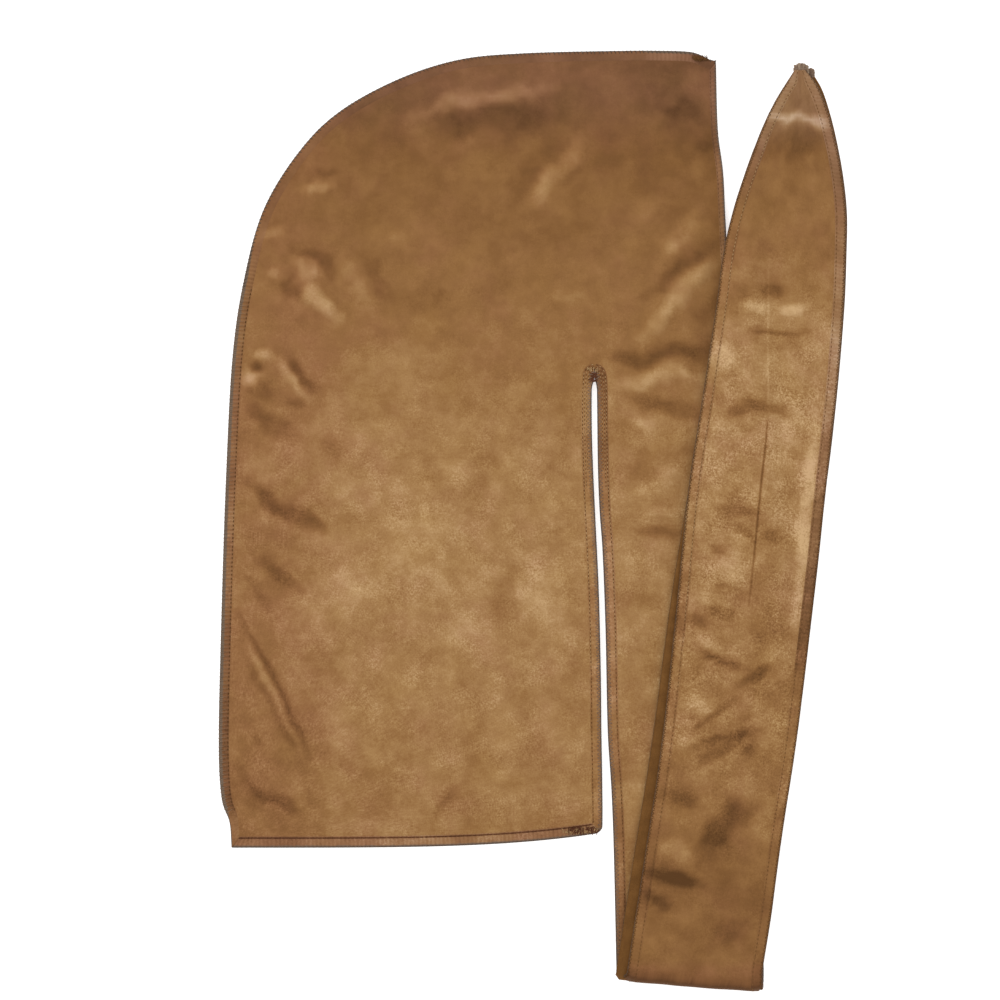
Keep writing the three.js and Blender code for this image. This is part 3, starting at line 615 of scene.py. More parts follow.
def bodyLooks(x, y):
    fleck = through(bodyFleck, 1 - y / pattern["bodyLength"])
    return {"nap": bodyNapAndShade(x, y), "fleck": fleck, "blush": bodyBlush(x, y), "ash": bodyGreyAndSheen(y)}


# Heights of the soft relief in the cloth
relief = {
    "billow": 0.0011,       # slow swells
    "tieBillow": 0.0009,
    "ripple": 0.00035,
    "dip": 0.0022,          # how deep a dark stroke sinks
    "tieDip": 0.0018,
    "innerBulge": 0.0016,   # the inner tie's fold reaches this much further out
}


# Distance of flat points from the nearest open or sewn edge
def edgeDistance(x, y):
    tieY = np.linspace(slitTop, foldY, 90)
    edges = np.vstack([
        body["outer"],
        body["front"],
        np.stack([innerEdge(tieY), tieY], axis=1),
        np.stack([outerEdge(tieY), tieY], axis=1),
    ])
    best = np.full(len(x), 1e9)
    for start in range(0, len(x), 4000):
        part = slice(start, start + 4000)
        apart = np.hypot(x[part, None] - edges[:, 0], y[part, None] - edges[:, 1])
        best[part] = apart.min(axis=1)
    return best


# Height of the middle of the cloth where crown, cape and the tie's way down lie
def bodyHeight(x, y, layer):
    away = edgeDistance(x, y)
    level = mix(layer["edge"], layer["field"], ramp(away, 0.006, 0.014))
    if layer["inner"] == 0:
        return level
    inside = ramp(away, 0.0068, 0.012)
    billow = relief["billow"] * (1 + cloudField(x, y, 0.055, 5)) * inside
    ripple = relief["ripple"] * (1 + cloudField(x, y, 0.019, 6)) * inside
    rise = strokeField(bodyStrokes, x, y, "rise") * mm * inside
    dip = np.clip(strokeField(bodyStrokes, x, y, "nap"), -0.5, 0) * relief["dip"]
    return level + np.maximum(billow + ripple + dip * inside, 0) + rise


def upLevel(x, y, layer):  # a folded tie lies on the stack, then drapes to the surface
    cover = 1 - smooth((x - outerEdge(y) - pattern["drapeStart"]) / pattern["drapeRun"])
    puff = pattern["foldPuff"] * (1 - smooth((y - foldY) / pattern["puffLength"]))
    return mix(layer["onSurface"], layer["onStack"], cover) + puff * cover


def rowShares(left, right, hem, rightHem):
    width = np.linalg.norm(right - left)
    a = min(hem, 0.38 * width) / width
    b = min(rightHem, 0.38 * width) / width
    ring = fineness["ring"]
    return np.concatenate([
        np.linspace(0, a, ring + 1)[:-1],
        np.linspace(a, 1 - b, fineness["tieAcross"] + 1),
        np.linspace(1 - b, 1, ring + 1)[1:],
    ])


# The rows of one tie from the slit's top to its tip, and where each point lies on the flat cloth
def drawTie(layer):
    wide = pattern["hemWidth"]
    flats = []
    for t in evenly(fineness["tieDownRows"])[1:]:
        y = slitTop - pattern["tieDrop"] * t
        lower = y - pattern["foldSlant"] * t
        rightHem = mix(pattern["frontHemWidth"], wide, float(smooth(3 * t)))
        left = np.array([float(innerEdge(y)), y])
        right = np.array([float(outerEdge(lower)) - drawnIn((t - 0.85) / 0.15), lower])
        flats.append(mix(left, right, rowShares(left, right, wide, rightHem)[:, None]))
    flats = np.array(flats)
    downX = flats[..., 0].ravel()
    downY = flats[..., 1].ravel()
    height = mix(layer["edge"], bodyHeight(downX, downY, layer), ramp(downY, foldY, 0.04))
    down = np.dstack([flats, height.reshape(flats.shape[:2])])

    spacing = evenly(fineness["tieUpRows"])
    ups = spacing * (1.2 - 0.2 * spacing)
    risen = []
    upFlats = []
    upAts = []
    for up in ups:
        left, right = upEnds(up, 1)
        under = mix(left, right, rowShares(left, right, wide, wide)[:, None])
        left, right = upEnds(up, layer["inner"])
        at = rowShares(left, right, wide, wide)
        slack = pattern["looseness"] * max(-float(underShift(up)), 0) * (1 - layer["inner"])
        z = upLevel(under[:, 0], under[:, 1], layer) + slack
        risen.append(np.column_stack([mix(left, right, at[:, None]), z]))
        rowY = foldY - pattern["foldSlant"] * at - pattern["tieRise"] * up
        upFlats.append(np.column_stack([foldLeft + pattern["tieWidth"] * at, rowY]))
        upAts.append(at)
    risen = np.array(risen)
    at = np.array(upAts)
    upX = risen[..., 0].ravel()
    upY = risen[..., 1].ravel()
    allUps = np.repeat(ups, at.shape[1])
    napAndShadeUp = tieNapAndShade(upX, upY, allUps).reshape(at.shape)
    if layer["inner"] == 0:
        inside = smooth(np.minimum(at, 1 - at) * 9)
        rise = strokeField(tieStrokes, upX, upY, "rise").reshape(at.shape) * mm
        dark = np.clip(strokeField(tieStrokes, upX, upY, "nap"), -0.5, 0).reshape(at.shape)
        dip = dark * relief["tieDip"]
        billow = relief["tieBillow"] * (1 + cloudField(upX, upY, 0.04, 8)).reshape(at.shape)
        ripple = relief["ripple"] * (1 + cloudField(upX, upY, 0.014, 9)).reshape(at.shape)
        risen[..., 2] += (np.maximum(billow + ripple + dip, 0) + rise) * inside

    # round the fold: half a turn from the last row down to the first row up
    first = risen[0]
    last = down[-1]
    outward = np.array([-pattern["foldSlant"], -pattern["tieWidth"]])
    outward = outward / np.linalg.norm(outward)
    corner = 1 - 0.55 * (1 - smooth(np.minimum(at[0], 1 - at[0]) / 0.035)) ** 2
    halfStack = (first[:, 2] - last[:, 2]) / 2 + relief["innerBulge"] * layer["inner"]
    turns = np.arange(1, fineness["foldRows"])
    bend = []
    bendFlat = []
    for k in turns:
        angle = math.pi * k / fineness["foldRows"]
        q = mix(last, first, (1 - math.cos(angle)) / 2)
        q[:, :2] += np.outer(halfStack * math.sin(angle) * corner, outward)
        bend.append(q)
        bendFlat.append(mix(flats[-1], upFlats[0], k / fineness["foldRows"]))
    rows = np.concatenate([down, np.array(bend), risen])
    flat = np.concatenate([flats, np.array(bendFlat), np.array(upFlats)])

    # painted shade: how far each row of the bend is darkened, most where it turns under
    under = 1 - smooth((turns / fineness["foldRows"] - 0.55) * 2.2)
    fleckUp = through(tieFleck, allUps).reshape(at.shape)
    fleckDown = through(bodyFleck, 1 - downY / pattern["bodyLength"]).reshape(len(down), -1)
    turned = len(down)
    rising = turned + len(bend)
    # the bend takes the first up row's tone, with painted shade darkening the half that turns under
    nap = np.concatenate([
        bodyNapAndShade(downX, downY).reshape(turned, -1), napAndShadeUp[:1] - 0.9 * under[:, None], napAndShadeUp,
    ])
    blush = bodyBlush(rows[..., 0].ravel(), rows[..., 1].ravel()).reshape(nap.shape)
    blush[rising:] = tieBlush(upX, upY).reshape(at.shape)
    blush[turned:] += 0.8 * (1 - ramp(rows[turned:, :, 1], foldY, 0.008))
    ash = bodyGreyAndSheen(rows[..., 1])
    ash[rising:] = tieTipSheen(risen[..., 1])
    # painted crease: its painted shade and highlight along the folded tie
    crease = np.full(nap.shape, 1.0)
    across = at - through(creaseAt, ups)[:, None]
    crease[rising:] = across * pattern["tieWidth"] * through(tieUp, ups, 2)[:, None]
    paintedCrease = np.zeros(nap.shape)
    paintedCrease[rising:] = through(creaseTone, ups)[:, None]
    return rows, flat, {
        "nap": nap, "blush": blush, "ash": ash, "crease": crease, "creaseTone": paintedCrease,
        "fleck": np.concatenate([fleckDown, np.repeat(fleckUp[:1], len(bend), axis=0), fleckUp]),
    }


# Small local shaping of the flat outline: the slit gapes below its top, and the cape's corner is rounded
outline = {"gape": 0.00045, "pinch": 0.0007, "gapeReach": 0.009, "cornerRadius": 0.0036, "cornerEnd": 0.231}


def shapeOutline(points):
    x = points[:, 0]
    y = points[:, 1]
    below = slitTop - y
    opened = outline["gape"] * ramp(below, 0.004, 0.005) * (1 - ramp(below, 0.02, 0.05))
    opened = opened - outline["pinch"] * (1 - ramp(below, 0.003, 0.003))
    near = np.clip(1 - np.abs(x - slitCentre) / outline["gapeReach"], 0, 1)
    x = x + np.sign(x - slitCentre) * opened * near
    radius = outline["cornerRadius"]
    u = np.clip((x - pattern["capeWidth"] + radius) / radius, 0, 1)
    v = np.clip((pattern["capeLift"] + radius - y) / radius, 0, 1)
    corner = (x < outline["cornerEnd"]) & (x > slitCentre - 0.02) & (y < 0.03)
    x = np.where(corner, x - radius * u * (1 - np.sqrt(1 - v * v / 2)), x)
    y = np.where(corner, y + radius * v * (1 - np.sqrt(1 - u * u / 2)), y)
    return np.column_stack([x, y])


# One half of the durag as a sheet of points and quads
def drawHalf(layer):
    blocks = []
    faces = []
    count = [0]

    def add(values):
        flat = values.reshape(-1, values.shape[-1])
        blocks.append(flat)
        index = np.arange(count[0], count[0] + len(flat)).reshape(values.shape[:-1])
        count[0] += len(flat)
        return index

    def quads(grid):
        a = grid[:-1, :-1]
        b = grid[1:, :-1]
        c = grid[1:, 1:]
        d = grid[:-1, 1:]
        faces.append(np.stack([a, b, c, d], axis=-1).reshape(-1, 4))

    ring = evenly(fineness["ring"])[None, :, None]
    loop = add(mix(body["outer"][:, None], body["inner"][:, None], ring))
    front = add(mix(body["front"][:-1, None], body["frontIn"][:-1, None], ring))
    front = np.vstack([front, loop[:1]])
    inner = loop[:, -1]
    columns = body["columns"]
    backRow = body["backRow"]
    across = fineness["capeAcross"]
    crownDown = fineness["crownDown"]
    capeDown = fineness["capeDown"]
    foot = backRow + capeDown
    slitFoot = foot + across
    archStart = slitFoot + capeDown
    turnCount = fineness["slitTurn"]

    crown = np.zeros(body["crown"].shape[:2], int)
    crown[1:-1, 1:-1] = add(body["crown"][1:-1, 1:-1])
    crown[0] = inner[: columns + 1][::-1]
    crown[:, 0] = inner[columns: backRow + 1]
    crown[:, -1] = front[:, -1][::-1]
    crown[-1, 1:across] = add(body["crown"][-1, 1:across])
    crown[-1, across: across + turnCount + 1] = inner[archStart: archStart + turnCount + 1]
    crown[-1, across + turnCount + 1: -1] = add(body["crown"][-1, across + turnCount + 1: -1])
    cape = np.zeros(body["cape"].shape[:2], int)
    cape[1:-1, 1:-1] = add(body["cape"][1:-1, 1:-1])
    cape[0] = crown[-1, : across + 1]
    cape[:, 0] = inner[backRow: foot + 1]
    cape[-1] = inner[foot: slitFoot + 1]
    cape[:, -1] = inner[slitFoot: archStart + 1][::-1]
    quads(crown)
    quads(cape)
    quads(loop)
    quads(front)

    plan = shapeOutline(np.vstack(blocks))
    z = bodyHeight(plan[:, 0], plan[:, 1], layer)
    none = np.zeros(len(plan))
    looks = {**bodyLooks(plan[:, 0], plan[:, 1]), "crease": none + 1, "creaseTone": none}
    tieRows, tieFlat, tieLooks = drawTie(layer)
    tie = add(tieRows.reshape(-1, 3)).reshape(tieRows.shape[:2])
    blocks.pop()
    root = np.concatenate([
        loop[-1][:-1],
        crown[-1, across + turnCount:],
        front[0][::-1][1:],
    ])
    tie = np.vstack([root, tie])
    quads(tie)

    tiePoints = tieRows.reshape(-1, 3).copy()
    lowRows = np.repeat(np.arange(len(tieRows)), tieRows.shape[1]) < 40
    tiePoints[lowRows, :2] = shapeOutline(tiePoints[lowRows, :2])
    points = np.vstack([np.column_stack([plan, z]), tiePoints])
    flat = np.vstack([plan, tieFlat.reshape(-1, 2)])
    looks = {name: np.concatenate([values, tieLooks[name].ravel()]) for name, values in looks.items()}
    faces = np.vstack(faces)
    a, b, c, d = (points[faces[:, i]] for i in range(4))
    faceNormals = np.cross(c - a, d - b)
    normals = np.zeros_like(points)
    for i in range(4):
        np.add.at(normals, faces[:, i], faceNormals)
    normals /= np.linalg.norm(normals, axis=1)[:, None]
    hemPoints = fineness["ring"] + 1
    left = tie[1:, :hemPoints]
    right = tie[1:, -hemPoints:][:, ::-1]
    return {
        "points": points, "faces": faces, "flat": flat, "looks": looks, "normals": normals,
        "sewn": loop[: foot + 1],
        "cape_hem": loop[foot: slitFoot + 1],
        "slit_hem": np.vstack([loop[slitFoot:], left]),
        "front_hem": np.vstack([right[::-1], front]),
    }


lowerHalf = drawHalf(lowerLayer)
upperHalf = drawHalf(upperLayer)
print("cloth drawn:", len(lowerHalf["points"]), "points a half")


# Meshes
def place(points):  # from the pattern to the frame
    moved = np.array(points, float)
    moved[:, 0] += originX
    moved[:, 1] += originY
    return moved


def makeMesh(name, points, faces, material, uv=None, attributes=None):
    mesh = bpy.data.meshes.new(name)
    mesh.from_pydata([tuple(p) for p in place(points)], [], [tuple(int(i) for i in f) for f in faces])
    piece = bpy.data.objects.new(name, mesh)
    bpy.context.scene.collection.objects.link(piece)
    for label, values in (attributes or {}).items():
        attribute = mesh.attributes.new(label, "FLOAT", "POINT")
        attribute.data.foreach_set("value", np.asarray(values, np.float32))
    if uv is not None:
        layer = mesh.uv_layers.new(name="flat")
        corner = np.zeros(len(mesh.loops), int)
        mesh.loops.foreach_get("vertex_index", corner)
        layer.data.foreach_set("uv", np.asarray(uv, np.float32)[corner].ravel())
    mesh.materials.append(material)
    mesh.polygons.foreach_set("use_smooth", np.full(len(mesh.polygons), True))
    mesh.update()
    return piece


def applyModifier(piece, modifier):
    bpy.ops.object.select_all(action="DESELECT")
    piece.select_set(True)
    bpy.context.view_layer.objects.active = piece
    bpy.ops.object.modifier_apply(modifier=modifier.name)


# Materials
class Wire:  # a shader socket that adds its Math nodes as it is used in an expression
    def __init__(self, shop, socket):
        self.shop = shop
        self.socket = socket

    def __add__(self, other):
        return self.shop.math("ADD", self, other)

    def __radd__(self, other):
        return self.shop.math("ADD", other, self)

    def __sub__(self, other):
        return self.shop.math("SUBTRACT", self, other)

    def __rsub__(self, other):
        return self.shop.math("SUBTRACT", other, self)

    def __mul__(self, other):
        return self.shop.math("MULTIPLY", self, other)

    def __rmul__(self, other):
        return self.shop.math("MULTIPLY", other, self)


class Shop:  # builds one material's nodes
    def __init__(self, name):
        self.material = bpy.data.materials.new(name)
        self.material.use_nodes = True
        self.tree = self.material.node_tree
        self.tree.nodes.clear()
        self.shader = self.tree.nodes.new("ShaderNodeBsdfPrincipled")
        out = self.tree.nodes.new("ShaderNodeOutputMaterial")
        self.tree.links.new(self.shader.outputs["BSDF"], out.inputs["Surface"])

    def node(self, kind, settings=None, inputs=None, output=0):
        made = self.tree.nodes.new("ShaderNode" + kind)
        for key, value in (settings or {}).items():
            if key == "stops":
                ramp = made.color_ramp
                while len(ramp.elements) < len(value):
                    ramp.elements.new(0.5)
                for element, (at, colour) in zip(ramp.elements, value):
                    element.position = at
                    element.color = (*colour, 1)
            else:
                setattr(made, key, value)
        for key, value in (inputs or {}).items():
            self.feed(made.inputs[key], value)
        return Wire(self, made.outputs[output])

    def feed(self, socket, value):
        if isinstance(value, Wire):
            self.tree.links.new(value.socket, socket)
        elif isinstance(value, (tuple, list)) and socket.type == "RGBA":
            socket.default_value = (*value, 1)
        else:
            socket.default_value = value

    def math(self, operation, a, b=0.0):
        return self.node("Math", {"operation": operation}, {0: a, 1: b})

    def attribute(self, name):
        return self.node("Attribute", {"attribute_name": name}, output="Fac")

    def blend(self, factor, a, b, kind="MIX"):
        settings = {"data_type": "RGBA", "blend_type": kind}
        return self.node("Mix", settings, {0: factor, 6: a, 7: b}, output=2)

    def tint(self, factor, colour, by):  # multiplies one colour by another, as far as the factor says
        return self.blend(factor, colour, self.blend(1.0, colour, by, "MULTIPLY"))

    def bump(self, strength, distance, height):
        return self.node("Bump", None, {"Strength": strength, "Distance": distance, "Height": height})

    def noise(self, vector, scale, detail=2.0, rough=0.5):
        inputs = {"Vector": vector, "Scale": scale, "Detail": detail, "Roughness": rough}
        return self.node("TexNoise", {"noise_dimensions": "3D"}, inputs)

    def set(self, **values):
        for key, value in values.items():
            self.feed(self.shader.inputs[key.replace("_", " ")], value)
        return self.material


def clamp01(wire):
    return wire.shop.math("MINIMUM", wire.shop.math("MAXIMUM", wire, 0.0), 1.0)


velvetLook = {
    "stops": [
        (0.0, (0.1, 0.042, 0.0115)),
        (0.3, (0.207, 0.093, 0.029)),
        (0.5, (0.282, 0.137, 0.046)),
        (0.68, (0.366, 0.201, 0.078)),
        (1.0, (0.58, 0.375, 0.19)),
    ],
    "grain": 1050,       # pile flecks, in noise cells a metre
    "speckle": 520,
    "grainDepth": 0.42,
    "speckleDepth": 0.3,
    "clusters": 62,      # flecks gather in clusters
    "patches": [(50, 0.12), (125, 0.095)],  # brushed lighter and darker, with fairly clear edges
    "rosy": (1.03, 0.965, 1.13),
    # tint for the greying: partly the hems' own grey, partly painted sheen on the tie's tip and painted light
    # on the crown's top
    "greyAndSheenTint": (1.0, 1.09, 1.55),
    "golden": (1.0, 1.012, 0.92),
    "sheen": 0.12,
    "bump": 0.25,
    "bumpDepth": 0.0003,
}


def velvetColour(shop, uv, tone, flecks):  # the pile's colour at a tone of 0 to 1, which holds painted shade and highlight besides the pile's tone
    gather = clamp01((shop.noise(uv, velvetLook["clusters"], 2.0, 0.55) - 0.42) * 4.0) * 0.9 + 0.55
    fleck = shop.attribute("fleck")
    tone = tone + flecks * gather * fleck
    evenness = fleck * 0.3 + 0.5
    for scale, depth in velvetLook["patches"]:
        patch = clamp01((shop.noise(uv, scale, 4.0, 0.55) - 0.5) * 5.0 + 0.5)
        tone = tone + (patch - 0.5) * depth * evenness
    colour = shop.node("ValToRGB", {"stops": velvetLook["stops"]}, {"Fac": clamp01(tone)})
    hue = (shop.noise(uv, 60.0, 3.0, 0.5) - 0.5) * 1.8 + shop.attribute("blush")
    colour = shop.tint(clamp01(hue), colour, velvetLook["rosy"])
    # greying: painted sheen on the tie's tip and painted light on the crown's top, with the hems' own grey
    colour = shop.tint(clamp01(shop.attribute("ash")), colour, velvetLook["greyAndSheenTint"])
    return shop.tint(clamp01(0.0 - hue), colour, velvetLook["golden"])


def pileFlecks(shop, uv):
    grain = shop.noise(uv, velvetLook["grain"], 2.0, 0.6)
    speckle = shop.noise(uv, velvetLook["speckle"], 2.0, 0.55)
    flecks = (grain - 0.5) * velvetLook["grainDepth"] + (speckle - 0.5) * velvetLook["speckleDepth"]
    return flecks, grain * 0.6 + speckle * 0.8


def velvetMaterial():
    shop = Shop("velvet")
    uv = shop.node("UVMap", {"uv_map": "flat"})
    flecks, height = pileFlecks(shop, uv)
    # a thin line along the tie's crease, painted dark or light: painted shade and painted highlight
    crease = clamp01(1.0 - shop.math("ABSOLUTE", shop.attribute("crease") + flecks * 0.001) * 900.0)
    # the tone attribute read here carries painted shade and painted highlight along with the pile's own tone
    tone = 0.5 + (shop.attribute("nap") + crease * shop.attribute("creaseTone")) * 0.5
    colour = velvetColour(shop, uv, tone, flecks)
    return shop.set(
        Base_Color=colour, Roughness=0.85, Specular_IOR_Level=0.15, Sheen_Weight=velvetLook["sheen"],
        Sheen_Roughness=0.4, Sheen_Tint=(0.9, 0.72, 0.5),
        Normal=shop.bump(velvetLook["bump"], velvetLook["bumpDepth"], height),
    )


def wrongSideMaterial():
    shop = Shop("velvetWrongSide")
    uv = shop.node("UVMap", {"uv_map": "flat"})
    knit = shop.noise(uv, 1400.0, 2.0, 0.6)
    cloud = shop.noise(uv, 120.0, 3.0, 0.55)
    stops = [(0.25, (0.091, 0.038, 0.0094)), (0.5, (0.153, 0.066, 0.016)), (0.75, (0.214, 0.097, 0.026))]
    colour = shop.node("ValToRGB", {"stops": stops}, {"Fac": knit * 0.45 + cloud * 0.55})
    normal = shop.bump(0.35, 0.0002, knit)
    return shop.set(Base_Color=colour, Roughness=0.9, Specular_IOR_Level=0.15, Normal=normal)


# Turned-under velvet: u runs from the outer edge (0) to the stitches (1), v is metres along it
def hemMaterial(name, edgeColour, edgeWidth, ribDepth):
    shop = Shop(name)
    uv = shop.node("UVMap", {"uv_map": "flat"})
    parts = shop.node("SeparateXYZ", None, {"Vector": uv})
    v = Wire(shop, parts.socket.node.outputs["Y"])
    rib = shop.math("SINE", v * (2 * math.pi / stitching["pitch"]))
    where = shop.node("TexCoord", output="Object")
    flecks, height = pileFlecks(shop, where)
    wobble = shop.noise(where, 420.0, 2.0, 0.6) - 0.5
    rib = rib * shop.attribute("rib")
    fromNeedle = shop.math("ABSOLUTE", parts - stitching["needleAt"])
    # painted shade along the stitch line, as dark as the hem's table says
    stitchLineShade = clamp01(1.0 - fromNeedle * 9.0) * shop.attribute("groove")
    tone = 0.5 + (shop.attribute("nap") - stitchLineShade) * 0.5 + rib * ribDepth
    colour = velvetColour(shop, where, tone, flecks)
    edge = clamp01((edgeWidth * (0.35 + shop.attribute("rib") * 0.65) + wobble * 0.2 - parts) * 8.0)
    shade = 1.0 + rib * 0.12 + wobble * 0.9
    grey = shop.node("CombineXYZ", None, {"X": shade, "Y": shade, "Z": shade})
    colour = shop.blend(edge, colour, shop.blend(1.0, edgeColour, grey, "MULTIPLY"))
    # painted shadow: a dark line along the outermost edge of each band
    edgeShadow = clamp01((0.13 + wobble * 0.1 - parts) * 12.0)
    colour = shop.blend(edgeShadow * 0.62, colour, (0.045, 0.03, 0.022))
    return shop.set(
        Base_Color=colour, Roughness=0.85, Specular_IOR_Level=0.15, Sheen_Weight=0.1,
        Sheen_Roughness=0.5, Sheen_Tint=(0.9, 0.75, 0.55),
        Normal=shop.bump(0.4, velvetLook["bumpDepth"], rib * 0.4 + height),
    )


def threadMaterial(name, dark, light):
    shop = Shop(name)
    where = shop.node("TexCoord", output="Object")
    twist = shop.noise(where, 1800.0, 2.0, 0.6)
    drift = shop.noise(where, 45.0, 2.0, 0.5)
    stops = [(0.3, dark), (0.72, light)]
    colour = shop.node("ValToRGB", {"stops": stops}, {"Fac": twist * 0.5 + drift * 0.5})
    normal = shop.bump(0.4, 0.0001, twist)
    return shop.set(Base_Color=colour, Roughness=0.95, Specular_IOR_Level=0.03, Normal=normal)


stitching = {
    "pitch": 0.00245,        # from one stitch to the next
    "thread": 0.00022,       # thread's radius
    "needleAt": 0.86,        # share of the hem's width where the straight stitches run
    "dash": 0.55,            # share of the pitch that a straight stitch covers
    "uneven": 0.08,          # share of the pitch by which a stitch strays
    "margin": 0.001,         # bare length at each end of an edge
}

velvet = velvetMaterial()
wrongSide = wrongSideMaterial()
hemVelvet = hemMaterial("hemVelvet", (0.15, 0.1, 0.07), 0.26, 0.05)
tieHemVelvet = hemMaterial("tieHemVelvet", (0.145, 0.1, 0.066), 0.13, 0.05)
seamVelvet = hemMaterial("seamVelvet", (0.14, 0.097, 0.066), 0.4, 0.07)
needleThread = threadMaterial("needleThread", (0.085, 0.036, 0.012), (0.16, 0.075, 0.028))
tieNeedleThread = threadMaterial("tieNeedleThread", (0.13, 0.06, 0.02), (0.24, 0.12, 0.045))
tanThread = threadMaterial("tanThread", (0.34, 0.2, 0.085), (0.52, 0.34, 0.17))
overlockThread = threadMaterial("overlockThread", (0.14, 0.09, 0.062), (0.3, 0.2, 0.14))
tieThread = threadMaterial("tieThread", (0.07, 0.03, 0.01), (0.18, 0.085, 0.03))
redThread = threadMaterial("redThread", (0.07, 0.024, 0.012), (0.15, 0.058, 0.03))
darkThread = threadMaterial("darkThread", (0.055, 0.039, 0.029), (0.14, 0.1, 0.075))
seamThread = threadMaterial("seamThread", (0.14, 0.092, 0.06), (0.33, 0.225, 0.15))
tackThread = threadMaterial("tackThread", (0.18, 0.125, 0.085), (0.42, 0.31, 0.22))
print("materials made")


# The two sheets of cloth
def makeCloth(name, half, topIsVelvet, node):
    piece = makeMesh(
        name, half["points"], half["faces"], velvet if topIsVelvet else wrongSide, uv=half["flat"],
        attributes=half["looks"],
    )
    piece.data.materials.append(wrongSide if topIsVelvet else velvet)
    solid = piece.modifiers.new("thickness", "SOLIDIFY")
    solid.thickness = pattern["cloth"]
    solid.offset = 0
    solid.material_offset = 1
    solid.material_offset_rim = 0 if topIsVelvet else 1
    applyModifier(piece, solid)
    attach(piece, "root")
    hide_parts(node)
    return piece


upperCloth = makeCloth("upperCloth", upperHalf, True, "upper_half")
lowerCloth = makeCloth("lowerCloth", lowerHalf, False, "lower_half")
print("cloth made")


# Hems: a rounded band on the velvet side of each open edge
hemProfile = [
    (0.03, -0.34), (-0.02, 0.0), (-0.01, 0.6), (0.05, 0.9), (0.2, 0.98), (0.45, 0.92), (0.66, 0.68),
    (0.85, 0.12), (1.0, -0.33), (0.96, -0.36),
]
carried = ["nap", "fleck", "blush", "ash"]


def chainLines(half, chainName):
    chain = half[chainName]
    normals = half["normals"]
    table = np.column_stack([half["points"]] + [half["looks"][name] for name in carried])
    up = normals[chain[:, 0]] + normals[chain[:, -1]]
    up /= np.linalg.norm(up, axis=1)[:, None]
    return table[chain[:, 0]], table[chain[:, -1]], np.pad(up, ((0, 0), (0, len(carried))))


def ringFaces(count, sides):  # faces between rings of points, and a cap at each end
    index = np.arange(count * sides).reshape(count, sides)
    around = np.roll(index, -1, axis=1)
    quads = np.stack([index[:-1], around[:-1], around[1:], index[1:]], axis=-1).reshape(-1, 4)
    return quads.tolist() + [index[0][::-1].tolist(), index[-1].tolist()]


def joined(parts):  # several meshes, each as points and faces, made one
    faces = []
    count = 0
    for points, partFaces in parts:
        faces += [[i + count for i in face] for face in partFaces]
        count += len(points)
    return np.vstack([points for points, _ in parts]), faces


def sweep(outer, inner, up, near, thick):  # the hem's profile along an edge, flatter at both ends
    trim = 0.00005
    count = len(outer)
    run = lengths((outer + inner)[:, :3] / 2)
    trimAt = np.interp([trim, run[-1] - trim], run, np.arange(count))
    stations = np.concatenate([[trimAt[0]], np.arange(1, count - 1), [trimAt[1]]])
    low = np.floor(stations).astype(int).clip(0, count - 2)
    part = (stations - low)[:, None]
    outerAt, innerAt, upAt = (mix(line[low], line[low + 1], part) for line in (outer, inner, up))
    runAt = mix(run[low], run[low + 1], part[:, 0])
    flatter = 0.25 + 0.75 * smooth(np.minimum(runAt - runAt[0], runAt[-1] - runAt) / 0.004)[:, None]
    points = []
    uv = []
    for across, lift in hemProfile:
        height = near + lift * thick * (flatter if lift > 0 else 1)
        points.append(mix(outerAt, innerAt, across) + upAt * height)
        uv.append(np.column_stack([np.full(count, np.clip(across, 0, 1)), runAt]))
    points = np.stack(points, axis=1).reshape(-1, 3 + len(carried))
    looks = {name: points[:, 3 + i] for i, name in enumerate(carried)}
    return points[:, :3], ringFaces(count, len(hemProfile)), np.stack(uv, axis=1).reshape(-1, 2), looks


def fixNormals(piece):
    bm = bmesh.new()
    bm.from_mesh(piece.data)
    bmesh.ops.recalc_face_normals(bm, faces=bm.faces)
    bm.to_mesh(piece.data)
    bm.free()


def sharpen(piece):  # keeps the square ends of a band out of its smooth shading
    fixNormals(piece)
    piece.data.set_sharp_from_angle(angle=math.radians(55))


def makeHem(half, layerName, chainName, side):
    outer, inner, up = chainLines(half, chainName)
    near = side * (pattern["cloth"] / 2 + pattern["gap"])
    points, faces, uv, looks = sweep(outer, inner, up, near, side * pattern["hemThickness"])
    for label, values in hemLooks(points, side, chainName).items():
        looks[label] = looks.get(label, 0) + values
    node = f"{layerName}_{chainName}"
    material = hemVelvet if side > 0 else tieHemVelvet
    piece = makeMesh(node + ".band", points, faces, material, uv=uv, attributes=looks)
    sharpen(piece)
    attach(piece, "root")
    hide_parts(node)
    return piece


# What a hem adds to the velvet's own looks; rib is how ribbed it is, and the last value how much painted
# shade darkens its stitch line
hemTraits = {
    "front_hem": {"nap": 0.12, "blush": 0.4, "ash": 0.6, "rib": 0.9, "groove": 0.1},
    "slit_hem": {"nap": -0.1, "blush": 0.3, "ash": 0, "rib": 0.5, "groove": 0.25},
    "cape_hem": {"nap": -0.1, "blush": 0.6, "ash": 0.5, "rib": 0.9, "groove": 1.1},
    "tie": {"nap": -0.06, "blush": 0.2, "ash": 0, "rib": 0.25, "groove": 0.1},
}


